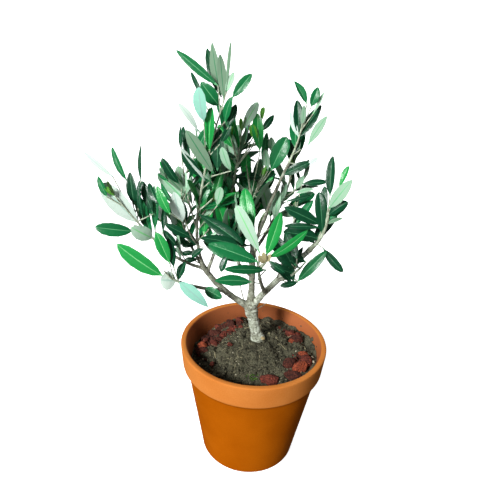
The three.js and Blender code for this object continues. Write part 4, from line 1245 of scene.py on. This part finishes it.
leafTones = {
    "Deep": leafTone((8, 66, 39), rib=(60, 122, 82), under=(112, 142, 116), shine=0.36, share=0.25),
    "Mid": leafTone((18, 110, 60), rib=(96, 168, 116), under=(142, 178, 150), shine=0.45, share=0.36),
    "Bright": leafTone((28, 148, 66), rib=(124, 200, 132), under=(166, 198, 174), shine=0.5, share=0.25),
    "Pale": leafTone((96, 176, 126), rib=(170, 200, 186), under=(196, 214, 202), shine=0.25, share=0.14),
    "Mint": leafTone((96, 176, 126), rib=(140, 184, 170), under=(140, 198, 178), shine=0.25),
    "Dry": leafTone((164, 156, 118), rib=(140, 130, 94), under=(172, 166, 128), shine=0.2),
    "Young": leafTone((92, 158, 60), rib=(140, 190, 100), under=(136, 176, 110), shine=0.2),
}


def leafMaterial(name, colour, roughness, wander, shine, bump):
    # a plain colour for each kind of leaf, with an uneven skin
    material, tree, shader, place = newMaterial(name, roughness, shine)
    skin = useGroup(tree, leafGroup, {"Vector": place, "Roughness": roughness, "Wander": wander})
    setInputs(tree, shader, {"Base Color": colour, "Roughness": skin["Roughness"]})
    raiseBy(tree, shader, skin["Height"], strength=1, distance=bump)
    return material


def turnToLight(leaf):
    # a leaf is a little shorter than the solids' and rolls towards the light, and one that faces away from it
    # has often turned over on its stalk; a lead leaf, which has its tone, stays as it was placed
    if "tone" in leaf:
        return leaf
    light = leafForm["light"] - leaf["along"] * leaf["along"].dot(leafForm["light"])
    upper, bend = leaf["upper"], leaf["bend"]
    if upper.dot(light) < 0 and next(seeded(leaf["seed"] + leafForm["turnSeed"])) < leafForm["turnShare"]:
        upper, bend = -upper, -bend
    light = light if upper.dot(light) > 0 else -light
    return dict(leaf, upper=unit(upper + leafForm["rollShare"] * light), bend=bend,
                length=leaf["length"] * leafForm["shorter"])


def leafPoints(leaves):
    # a ring of points for each row of each leaf, across the blade above and back below; the half width is a
    # power of the share from the foot times a power of the share to the tip; the halves fold up, the edges
    # curl down again, and the whole bends and twists along its length
    form = leafForm
    leaves = [dict(wide=1, fold=1) | turnToLight(leaf) for leaf in leaves]
    root, along, upper, length, bend, wide, fold = gathered(
        leaves, "root", "along", "upper", "length", "bend", "wide", "fold")
    root, along, upper = root[:, None], along[:, None], upper[:, None]
    length, bend, wide, fold = length[:, None], bend[:, None], wide[:, None], fold[:, None]
    streams = [seeded(leaf["seed"] + form["seed"]) for leaf in leaves]
    draws = np.array([[next(stream) for _ in range(form["draws"])] for stream in streams])
    wideDraw, twistDraw, foldDraw, baseDraw, tipDraw = draws.T[..., None]
    t = form["rows"][None]
    s = np.clip((t - form["stalk"]) / (1 - form["stalk"]), 0, 1)
    p, q = mix(*form["baseFill"], baseDraw), mix(*form["tipFill"], tipDraw)
    outline = s ** p * (1 - s) ** q / ((p / (p + q)) ** p * (q / (p + q)) ** q)
    small = np.clip(length / form["fullLength"], form["smallest"], 1)
    width = form["width"] * wide * length * mix(*form["widthRange"], wideDraw) / 2 * outline
    stalk = mix(form["stalkHalf"], form["tipHalf"], smoothStep(*form["stalkSpan"], t))
    width = np.maximum(width, stalk * small)
    blade = smoothStep(*form["bladeSpan"], s)[..., None]
    slope = (2 * bend * t)[..., None]
    forward, up = unit(along + slope * upper), unit(upper - slope * along)
    side = np.cross(forward, up)
    turn = (np.radians(form["twist"]) * (twistDraw * 2 - 1) * t ** 2)[..., None]
    side, up = side * np.cos(turn) + up * np.sin(turn), up * np.cos(turn) - side * np.sin(turn)
    middle = root + length[..., None] * (along * t[..., None] + upper * (bend * t ** 2)[..., None])
    v = np.concatenate([form["upperPlaces"], form["lowerPlaces"]])
    below = np.arange(len(v)) >= len(form["upperPlaces"])
    edge, rib = np.abs(v) == 1, np.abs(v) < form["ribPlace"]
    fold = (fold * form["fold"] * mix(*form["foldRange"], foldDraw))[..., None]
    ripple = form["ripple"] * np.sin(form["ripples"] * t + form["rippleStart"] * baseDraw)[..., None] * v
    height = width[..., None] * (fold * np.abs(v) - form["curl"] * v ** 4 + ripple * np.abs(v)) * blade
    thick = np.minimum(form["thickness"] * small, width)[..., None]
    height = height + np.where(below, -0.5, 0.5) * thick * ~edge
    ribDepth = np.where(below, form["ribDepth"], form["groove"]) * mix(1, form["ribAtTip"], t)[..., None]
    height = height - rib * small[..., None] * blade * ribDepth
    points = middle[:, :, None] + side[:, :, None] * (width[..., None] * v)[..., None]
    return points + up[:, :, None] * height[..., None]


def makeLeaves(name, leaves, tone):
    # the leaves of one tone; each has its upper skin, its rib and stalk, and its lower skin
    points = leafPoints(leaves)
    count, rows, ring = points.shape[:3]
    column = np.tile(np.arange(ring), rows - 1)
    row = np.repeat(np.arange(rows - 1), ring)
    uppers = len(leafForm["upperPlaces"]) - 1
    slots = np.where(column >= uppers, 2, 0)
    onRib = (column == uppers // 2) | (column == uppers + 1) | (row < leafForm["stalkRows"])
    slots = np.where(onRib, 1, slots)
    faceSlots = np.concatenate([np.tile(slots, count), np.ones(2 * count)])
    materials = [
        leafMaterial("leafUpper" + name, tone["upper"], roughness=0.34, wander=0.25, shine=tone["shine"],
                     bump=0.5),
        leafMaterial("leafRib" + name, tone["rib"], roughness=0.5, wander=0.1, shine=0.4, bump=0.02),
        leafMaterial("leafUnder" + name, tone["under"], roughness=0.75, wander=0.1, shine=0.25, bump=0.6)]
    faces = copiesOf(tubeFaces(rows, ring), count, rows * ring)
    piece = makePiece("leaves" + name, points.reshape(-1, 3), faces, materials, massNodes,
                      faceSlots)
    # the thin edge between the two skins stays sharp
    mesh = piece.data
    ends = np.zeros(len(mesh.edges) * 2, np.int32)
    mesh.edges.foreach_get("vertices", ends)
    ends = ends.reshape(-1, 2) % ring
    onEdge = np.isin(ends, [0, uppers]).all(1) & (ends[:, 0] == ends[:, 1])
    sharp = mesh.attributes.get("sharp_edge") or mesh.attributes.new("sharp_edge", "BOOLEAN", "EDGE")
    sharp.data.foreach_set("value", onEdge)
    mesh.update()


def dealTones():
    # each spray has its own freshness; leaves near its tip are fresher, and chance does the rest; the sprays
    # of the inner twigs are dealt a little darker tones, a painted shade for their place within the crown
    dealt = {tone: [] for tone in leafTones}
    bounds = np.cumsum([tone["share"] for tone in leafTones.values()])
    for spray in [*sprays, *sprigs]:
        shift = toneRule["bySpray"] * (next(seeded(spray["seed"] + toneRule["spraySeed"])) - 0.5)
        for leaf in spray["leaves"]:
            chance = next(seeded(leaf["seed"] + toneRule["leafSeed"]))
            fresh = toneRule["chance"] * chance + toneRule["towardsTip"] * leaf["share"] + shift
            fresh = np.clip(fresh + toneRule["start"] - spray.get("paintedShade", 0), 0, toneRule["freshest"])
            dealt[list(leafTones)[int(np.searchsorted(bounds, fresh))]].append(leaf)
    for leaf in leads:
        dealt[leaf["tone"]].append(leaf)
    dealt["Young"] += youngLeaves
    return dealt


for toneName, toneLeaves in dealTones().items():
    makeLeaves(toneName, toneLeaves, leafTones[toneName])


# Soil: a lumpy mound round the trunk, with crumbs, fibres and chips of red lava on it

soil = dict(wallHeight=109, rightRise=4, moundHeight=119.7, moundSpread=34, steeper=0.7, flatRadius=9,
            lumps=1.2, lumpLength=42, lumpStart=1, heap=2.2, heapSpread=6,
            relief=[dict(cell=14, depth=1.8), dict(cell=6.5, depth=1.2), dict(cell=3, depth=0.6),
                    dict(cell=1.5, depth=0.3)], creaseHeight=0.6, reliefSeed=20, quiet=(3, 12),
            trench=3.5, trenchSpan=(47, 56), trenchSide=(0.2, -0.6), trenchFront=0.6, bareRadius=8,
            rings=96, around=240, intoWall=0.2, offWall=0.4, offFloor=0.3,
            dark=tint(17, 16, 11), light=tint(108, 106, 84))


def potInnerRadius(height):
    share = (height - pot["floor"]) / (pot["height"] - pot["lip"] - pot["floor"])
    return mix(pot["innerFootRadius"], pot["rimRadius"] - pot["wall"], share)


def fromTrunk(x, y):
    return np.hypot(x - trunkShape["foot"][0], y - trunkShape["foot"][1])


def soilHeight(x, y, steeper):
    # a bell-shaped mound round the trunk that falls to the wall, with long low lumps
    beyond = np.maximum(0, fromTrunk(x, y) - soil["flatRadius"])
    edge = soil["wallHeight"] + soil["rightRise"] * x / pot["rimRadius"]
    wave = 2 * np.pi / soil["lumpLength"]
    lumps = soil["lumps"] * np.sin(x * wave + soil["lumpStart"]) * np.cos(y * wave)
    mound = mix(edge, soil["moundHeight"], np.exp(-(beyond / soil["moundSpread"] / steeper) ** 2))
    return mound + lumps * np.minimum(1, beyond / soil["flatRadius"])


def soilTop(x, y):
    # the mound with four sizes of clods, noise folded at nought so that they meet in creases, quieter against
    # the trunk, a trench by the wall to the left and the front, and soil heaped against the trunk
    flat = np.stack([x, y, 0 * x], -1)
    rough = 0
    for i, clods in enumerate(soil["relief"]):
        folded = 2 * np.abs(cloud(flat, clods["cell"], soil["reliefSeed"] + i)) - soil["creaseHeight"]
        rough = rough + clods["depth"] * folded
    away, reach = fromTrunk(x, y), np.hypot(x, y)
    side = (x + soil["trenchFront"] * y) / np.maximum(reach, 1)
    trench = soil["trench"] * smoothStep(*soil["trenchSpan"], reach) * smoothStep(*soil["trenchSide"], side)
    heap = soil["heap"] * np.exp(-(away / soil["heapSpread"]) ** 2)
    return soilHeight(x, y, soil["steeper"]) + rough * smoothStep(*soil["quiet"], away) - trench + heap


def makeSoil():
    # rays from the trunk's foot to the wall, the wall down to the floor, and the floor
    share = (np.arange(1, soil["rings"] + 1) / soil["rings"])[:, None]
    angle = np.arange(soil["around"]) * 2 * np.pi / soil["around"]
    rim = potInnerRadius(soil["wallHeight"]) + soil["intoWall"]
    middle = np.array(trunkShape["foot"][:2], float)
    x = mix(middle[0], rim * np.cos(angle), share)
    y = mix(middle[1], rim * np.sin(angle), share)
    top = np.stack([x, y, soilTop(x, y)], -1)
    foot, floor = pot["innerFootRadius"] - soil["offWall"], pot["floor"] + soil["offFloor"]
    low = np.stack([foot * np.cos(angle), foot * np.sin(angle), np.full(len(angle), floor)], -1)
    rings = np.concatenate([low[None], top[::-1]])
    points = np.concatenate([[[0, 0, floor]], rings.reshape(-1, 3), [[*middle, float(soilTop(*middle))]]])
    material = grainyMaterial("pottingSoil", soil["dark"], soil["light"], roughness=0.98, cloudSize=9,
                              grainSize=0.9, grainShare=0.6, bump=0.35)
    makePiece("soilBed", points, turnedFaces(len(rings) + 2, soil["around"]), [material], ["soil"])


stoneForm = dict(depth=(0.62, 1.0), leastFacing=0.08, longest=1.12, rough=0.07, roughSize=0.35, apart=9.7)


def angularStones(count, form):
    # unit stones: in each direction the nearest of a few random planes, a little roughened, with two poles
    random = np.random.default_rng(form["seed"])
    down = ((np.arange(form["rows"]) + 0.5) / form["rows"] * np.pi)[:, None]
    about = np.arange(form["columns"]) * 2 * np.pi / form["columns"]
    direction = np.stack([np.sin(down) * np.cos(about), np.sin(down) * np.sin(about),
                          -np.cos(down) + 0 * about], -1).reshape(-1, 3)
    direction = np.concatenate([[[0, 0, -1]], direction, [[0, 0, 1]]])
    normals = unit(random.normal(size=(count, form["planes"], 3)))
    depths = random.uniform(*stoneForm["depth"], (count, 1, form["planes"]))
    facing = np.maximum(np.einsum("pk,nqk->npq", direction, normals), stoneForm["leastFacing"])
    reach = np.minimum((depths / facing).min(-1), stoneForm["longest"])
    places = direction[None] + stoneForm["apart"] * np.arange(count)[:, None, None]
    reach = reach * (1 + stoneForm["rough"] * cloud(places, stoneForm["roughSize"], form["seed"]))
    return direction[None] * reach[..., None]


def placeStones(shapes, scales, turns, tilts, places):
    # stones stretched, turned about the upright, tipped, and set down
    points = shapes * scales[:, None]
    cosine, sine = np.cos(turns)[:, None], np.sin(turns)[:, None]
    x = points[..., 0] * cosine - points[..., 1] * sine
    y = points[..., 0] * sine + points[..., 1] * cosine
    cosine, sine = np.cos(tilts)[:, None], np.sin(tilts)[:, None]
    y, z = y * cosine - points[..., 2] * sine, y * sine + points[..., 2] * cosine
    return np.stack([x, y, z], -1) + places[:, None]


def strewnStones(random, form, breadth, places):
    # stones of one form, each with its breadth and its place, turned and tipped by chance
    turns = random.uniform(0, form["turn"], len(breadth))
    tilts = random.normal(0, form["tilt"], len(breadth))
    shapes = angularStones(len(breadth), form)
    return placeStones(shapes, breadth[:, None] * form["stretch"], turns, tilts, places)


def stoneFaces(form):
    return turnedFaces(form["rows"] + 2, form["columns"])


lava = dict(tones=[dict(dark=tint(34, 17, 13), light=tint(112, 58, 44)),
                   dict(dark=tint(58, 24, 18), light=tint(150, 72, 54)),
                   dict(dark=tint(96, 40, 24), light=tint(190, 92, 58))],
            toneShares=[0.6, 0.32, 0.08], seed=17)
# the drifts run round the pot's axis from a start to an end, in degrees, and each has its share of the grit
drifts = [
    dict(start=108, end=194, count=7, radius=51, size=4.8, gritShare=0.45),
    dict(start=122, end=176, count=3, radius=39, size=3.8, gritShare=0.15),
    dict(start=24, end=52, count=2, radius=48, size=5.2, gritShare=0.1),
    dict(start=318, end=362, count=3, radius=51, size=5.2, gritShare=0.2),
    dict(start=332, end=352, count=1, radius=38, size=4.6, gritShare=0.05),
    dict(start=292, end=296, count=1, radius=42, size=5.6, gritShare=0.05, larger=1.35, turn=0.15)]
chips = dict(rows=8, columns=12, seed=41, planes=6, stretch=np.array([1.15, 0.8, 0.66]), fuller=1.15,
             larger=1.2, breadth=(0.8, 1.1), raised=0.2, scatter=3, tilt=0.7, lastTone=1)
grit = dict(rows=7, columns=11, seed=43, planes=7, stretch=[1.2, 0.9, 0.75], turn=3.1, tilt=0.4, count=120,
            breadth=(0.9, 3.6), raised=0.25, aside=6, scatter=4, furthest=57)
# bits of lava with places of their own, the first of the grit
lavaBits = [
    dict(x=-22.7, y=1.8, breadth=3.2, tone=1, raised=1.2),
    dict(x=-37.6, y=-21.6, breadth=2.6, tone=1, raised=1.6),
    dict(x=-50, y=2.5, breadth=4.6, tone=2, raised=5.5),
    dict(x=48.5, y=-3.9, breadth=4.6, tone=2, raised=1.6),
    dict(x=-48, y=14, breadth=3.4, tone=1, raised=3.5),
    dict(x=-43.5, y=6.5, breadth=2.4, tone=0, raised=2.0),
    dict(x=40, y=-13, breadth=3.0, tone=0, raised=0.8),
    dict(x=46.5, y=-13.5, breadth=3.4, tone=1, raised=1.2)]


def makeLava():
    # the seventeen larger chips where the solids have them, and small grit strewn along the same drifts
    materials = [grainyMaterial("lavaRed" + str(i), **tone, roughness=0.9, cloudSize=3.2, grainSize=1.1,
                                grainShare=0.55, bump=1.0) for i, tone in enumerate(lava["tones"])]
    random = np.random.default_rng(lava["seed"])
    scales, turns, tilts, places = [], [], [], []
    for drift in drifts:
        for i in range(drift["count"]):
            draw = seeded(seedRule["chips"] + len(scales))
            heading = math.radians(mix(drift["start"], drift["end"], i / drift["count"]))
            reach = drift["radius"] + (next(draw) - 0.5) * chips["scatter"]
            breadth = drift["size"] * mix(*chips["breadth"], next(draw))
            x, y = reach * math.cos(heading), reach * math.sin(heading)
            scales.append(breadth * drift.get("larger", chips["larger"]) * chips["stretch"])
            turns.append(drift.get("turn", next(draw) * math.pi))
            tilts.append((next(draw) - 0.5) * chips["tilt"])
            places.append([x, y, float(soilTop(np.array(x), np.array(y))) + breadth * chips["raised"]])
    count = len(scales)
    shapes = angularStones(count, chips) * chips["fuller"]
    points = placeStones(shapes, np.array(scales), np.array(turns), np.array(tilts), np.array(places))
    kinds = random.choice(len(materials), count, p=lava["toneShares"])
    kinds[-1] = chips["lastTone"]
    makeCopies("lavaStones", points, stoneFaces(chips), kinds, materials,
               ["lava_chip_" + str(i + 1) for i in range(count)], smooth=False)

    count, placed = grit["count"], len(lavaBits)
    start, end, radius, share = gathered(drifts, "start", "end", "radius", "gritShare")
    chosen = random.choice(len(drifts), count, p=share)
    heading = mix(start[chosen], end[chosen], random.random(count)) + random.normal(0, grit["aside"], count)
    reach = np.minimum(radius[chosen] + random.normal(0, grit["scatter"], count), grit["furthest"])
    x, y = reach * np.cos(np.radians(heading)), reach * np.sin(np.radians(heading))
    breadth = mix(*grit["breadth"], random.random(count) ** 2)
    x[:placed], y[:placed], breadth[:placed] = gathered(lavaBits, "x", "y", "breadth")
    raised = grit["raised"] * breadth
    raised[:placed], placedKinds = gathered(lavaBits, "raised", "tone")
    points = strewnStones(random, grit, breadth, np.stack([x, y, soilTop(x, y) + raised], -1))
    kinds = random.choice(len(materials), count, p=lava["toneShares"])
    kinds[:placed] = placedKinds
    makeCopies("lavaGrit", points, stoneFaces(grit), kinds, materials, smooth=False)


def scatterOnSoil(random, count, outer):
    # places spread evenly over the soil's top within a reach of the pot's axis, but not against the trunk
    reach = np.sqrt(random.uniform(0, outer ** 2, count))
    heading = random.uniform(0, 2 * np.pi, count)
    x, y = reach * np.cos(heading), reach * np.sin(heading)
    clear = fromTrunk(x, y) > soil["bareRadius"]
    return x[clear], y[clear]


crumbs = dict(rows=4, columns=7, seed=47, planes=7, stretch=[1.1, 0.9, 0.75], turn=3.1, tilt=0.5,
              scatterSeed=23, count=1700, breadth=(0.35, 2.1), furthest=56, raised=0.2, paleShare=0.07,
              paleBelow=1.0, moss=(1.9, -40.6), mossCount=40, mossSpread=2.6, mossBreadth=(0.4, 0.9))
pebbles = [dict(x=57.3, y=-4.6, breadth=1.7), dict(x=57.7, y=-12.1, breadth=1.5),
           dict(x=-7, y=-31, breadth=0.9)]
# flecks of soil stick to the wall at a heading, in degrees, and a height
flecks = [
    dict(heading=8, height=116, breadth=1.2), dict(heading=40, height=117, breadth=1.3),
    dict(heading=44, height=118.5, breadth=0.8), dict(heading=62, height=115, breadth=0.9),
    dict(heading=83, height=118, breadth=0.8), dict(heading=100, height=116, breadth=1.0),
    dict(heading=118, height=117, breadth=0.9), dict(heading=20, height=115.5, breadth=3.0),
    dict(heading=133, height=119, breadth=0.7), dict(heading=352, height=116, breadth=1.0)]


def makeCrumbs():
    # clods of soil of many sizes, few of them large, a sprinkling of pale grains, a tuft of moss, and flecks
    # that stick to the wall above the soil
    materials = [
        grainyMaterial("soilClod", tint(24, 22, 16), tint(98, 95, 75), roughness=1.0, cloudSize=3,
                       grainSize=0.6, grainShare=0.5, bump=0.2),
        grainyMaterial("paleGrain", tint(150, 144, 118), tint(214, 208, 184), roughness=0.9, cloudSize=1.5,
                       grainSize=0.4, grainShare=0.5, bump=0.1),
        grainyMaterial("mossTuft", tint(36, 60, 16), tint(84, 128, 36), roughness=1.0, cloudSize=1.5,
                       grainSize=0.3, grainShare=0.5, bump=0.2)]
    clod, pale, moss = range(len(materials))
    random = np.random.default_rng(crumbs["scatterSeed"])
    x, y = scatterOnSoil(random, crumbs["count"], crumbs["furthest"])
    breadth = mix(*crumbs["breadth"], random.random(len(x)) ** 3)
    isPale = (random.random(len(x)) < crumbs["paleShare"]) & (breadth < crumbs["paleBelow"])
    mossOff = random.normal(0, crumbs["mossSpread"], (2, crumbs["mossCount"]))
    mossX, mossY = np.array(crumbs["moss"])[:, None] + mossOff
    mossBreadth = random.uniform(*crumbs["mossBreadth"], len(mossX))
    pebbleX, pebbleY, pebbleBreadth = gathered(pebbles, "x", "y", "breadth")
    x, y = np.concatenate([x, mossX, pebbleX]), np.concatenate([y, mossY, pebbleY])
    breadth = np.concatenate([breadth, mossBreadth, pebbleBreadth])
    onSoil = np.stack([x, y, soilTop(x, y) + crumbs["raised"] * breadth], -1)
    heading, height, fleckBreadth = gathered(flecks, "heading", "height", "breadth")
    wall = potInnerRadius(height)
    onWall = np.stack([wall * np.cos(np.radians(heading)), wall * np.sin(np.radians(heading)), height], -1)
    kinds = np.concatenate([np.where(isPale, pale, clod), np.full(len(mossX), moss),
                            np.full(len(pebbleX), pale), np.full(len(wall), clod)])
    points = strewnStones(random, crumbs, np.concatenate([breadth, fleckBreadth]),
                          np.concatenate([onSoil, onWall]))
    makeCopies("soilCrumbs", points, stoneFaces(crumbs), kinds, materials)


fibres = dict(count=760, seed=29, furthest=54, wall=58, length=(2, 12), radius=(0.07, 0.22), taper=1.3,
              bend=0.9, arch=(0.1, 1.4), rows=7, sides=4, darker=0.6,
              tones=[tint(58, 52, 40), tint(128, 122, 98), tint(188, 178, 140)], shares=[0.3, 0.5, 0.2])


def makeFibres():
    # thin roots and straws: short arcs laid on the soil, a little above it in the middle
    random = np.random.default_rng(fibres["seed"])
    x, y = scatterOnSoil(random, fibres["count"], fibres["furthest"])
    count = len(x)
    length = mix(*fibres["length"], random.random(count) ** 2)
    start, bend = random.uniform(0, 2 * np.pi, count), random.normal(0, fibres["bend"], count)
    t = np.linspace(-0.5, 0.5, fibres["rows"])[None]
    heading = start[:, None] + bend[:, None] * t
    step = (length / fibres["rows"])[:, None]
    pathX = x[:, None] + np.cumsum(np.cos(heading) * step, 1)
    pathY = y[:, None] + np.cumsum(np.sin(heading) * step, 1)
    keepIn = np.minimum(1, fibres["wall"] / np.hypot(pathX, pathY))
    pathX, pathY = pathX * keepIn, pathY * keepIn
    radius = mix(*fibres["radius"], random.random(count))[:, None] * (1 - fibres["taper"] * t ** 2)
    arch = random.uniform(*fibres["arch"], count)[:, None] * (1 - 4 * t ** 2)
    centre = np.stack([pathX, pathY, soilTop(pathX, pathY) + radius + arch], -1)
    side = np.stack([-np.sin(heading), np.cos(heading), 0 * heading], -1)
    angle = np.arange(fibres["sides"]) * 2 * np.pi / fibres["sides"]
    ring = np.cos(angle)[:, None] * side[:, :, None] + np.sin(angle)[:, None] * np.array([0, 0, 1])
    points = (centre[:, :, None] + radius[..., None, None] * ring).reshape(count, -1, 3)
    kinds = random.choice(len(fibres["tones"]), count, p=fibres["shares"])
    materials = []
    for i, colour in enumerate(fibres["tones"]):
        dark = (*(fibres["darker"] * np.array(colour[:3])).tolist(), 1)
        materials.append(grainyMaterial("soilFibre" + str(i), dark, colour, roughness=0.9, cloudSize=4,
                                        grainSize=0.5, grainShare=0.4, bump=0.05))
    makeCopies("soilFibres", points, tubeFaces(fibres["rows"], fibres["sides"]), kinds, materials)


makeSoil()
makeLava()
makeCrumbs()
makeFibres()


# Stage: a pale round room, soft light from the left and the front, and the photograph's camera

stage = dict(radius=2400, height=3200, rounding=900, steps=17, columns=96, colour=tint(250, 250, 250),
             glow=0.9, sky=0.1)
lamps = dict(windowLight=dict(start=(-0.46, -0.72, 0.52), strength=4.8, spread=14, glint=True),
             tableBounce=dict(start=(-0.25, -0.85, -0.35), strength=0.8, spread=60, glint=False),
             backFill=dict(start=(0.2, 0.8, 0.55), strength=1.0, spread=60, glint=False))


def makeStage():
    # a round room, pale from every side: a floor that bends up into a wall and over into a ceiling, turned
    radius, height, rounding = stage["radius"], stage["height"], stage["rounding"]
    outline = roundedOutline([(0, 0, 0), (radius, 0, rounding), (radius, height, rounding), (0, height, 0)],
                             stage["steps"])
    material, tree, shader, _ = newMaterial("paleSweep", roughness=0.9, shine=0.1)
    setInputs(tree, shader, {"Base Color": stage["colour"], "Emission Color": stage["colour"],
                             "Emission Strength": stage["glow"]})
    sweep = addMesh("paleSweep", turnedPoints(outline, stage["columns"]),
                    turnedFaces(len(outline), stage["columns"]), [material])
    sweep.visible_diffuse = False  # what the table throws back up is a soft lamp of its own, from below
    sweep.visible_shadow = False
    sweep.visible_glossy = False


def makeLight():
    world = bpy.data.worlds.new("softRoom")
    world.use_nodes = True
    tree = world.node_tree
    setInputs(tree, tree.nodes["Background"], {"Color": white, "Strength": stage["sky"]})
    scene.world = world
    for name, values in lamps.items():
        lamp = bpy.data.lights.new(name, "SUN")
        lamp.energy, lamp.angle = values["strength"], math.radians(values["spread"])
        light = addObject(name, lamp)
        back = unit(np.array(values["start"]))
        right = unit(np.cross([0, 0, 1], back))
        light.matrix_world = Matrix(np.stack([right, np.cross(back, right), back], -1).tolist()).to_4x4()
        light.visible_glossy = values["glint"]


def makeCamera():
    right, up, forward = cameraAxes()
    turn = np.eye(4)
    turn[:3, :3] = np.stack([right, up, -forward], -1)
    turn[:3, 3] = view["place"] * millimetre
    lens = bpy.data.cameras.new("photoCamera")
    lens.lens, lens.sensor_width = view["lens"], view["sensor"]
    lens.clip_start = view["nearest"] * millimetre
    camera = addObject("photoCamera", lens)
    camera.matrix_world = Matrix(turn.tolist())
    scene.camera = camera


makeStage()
makeLight()
makeCamera()
scene.view_settings.view_transform = "Standard"
print("stage, light and camera set")
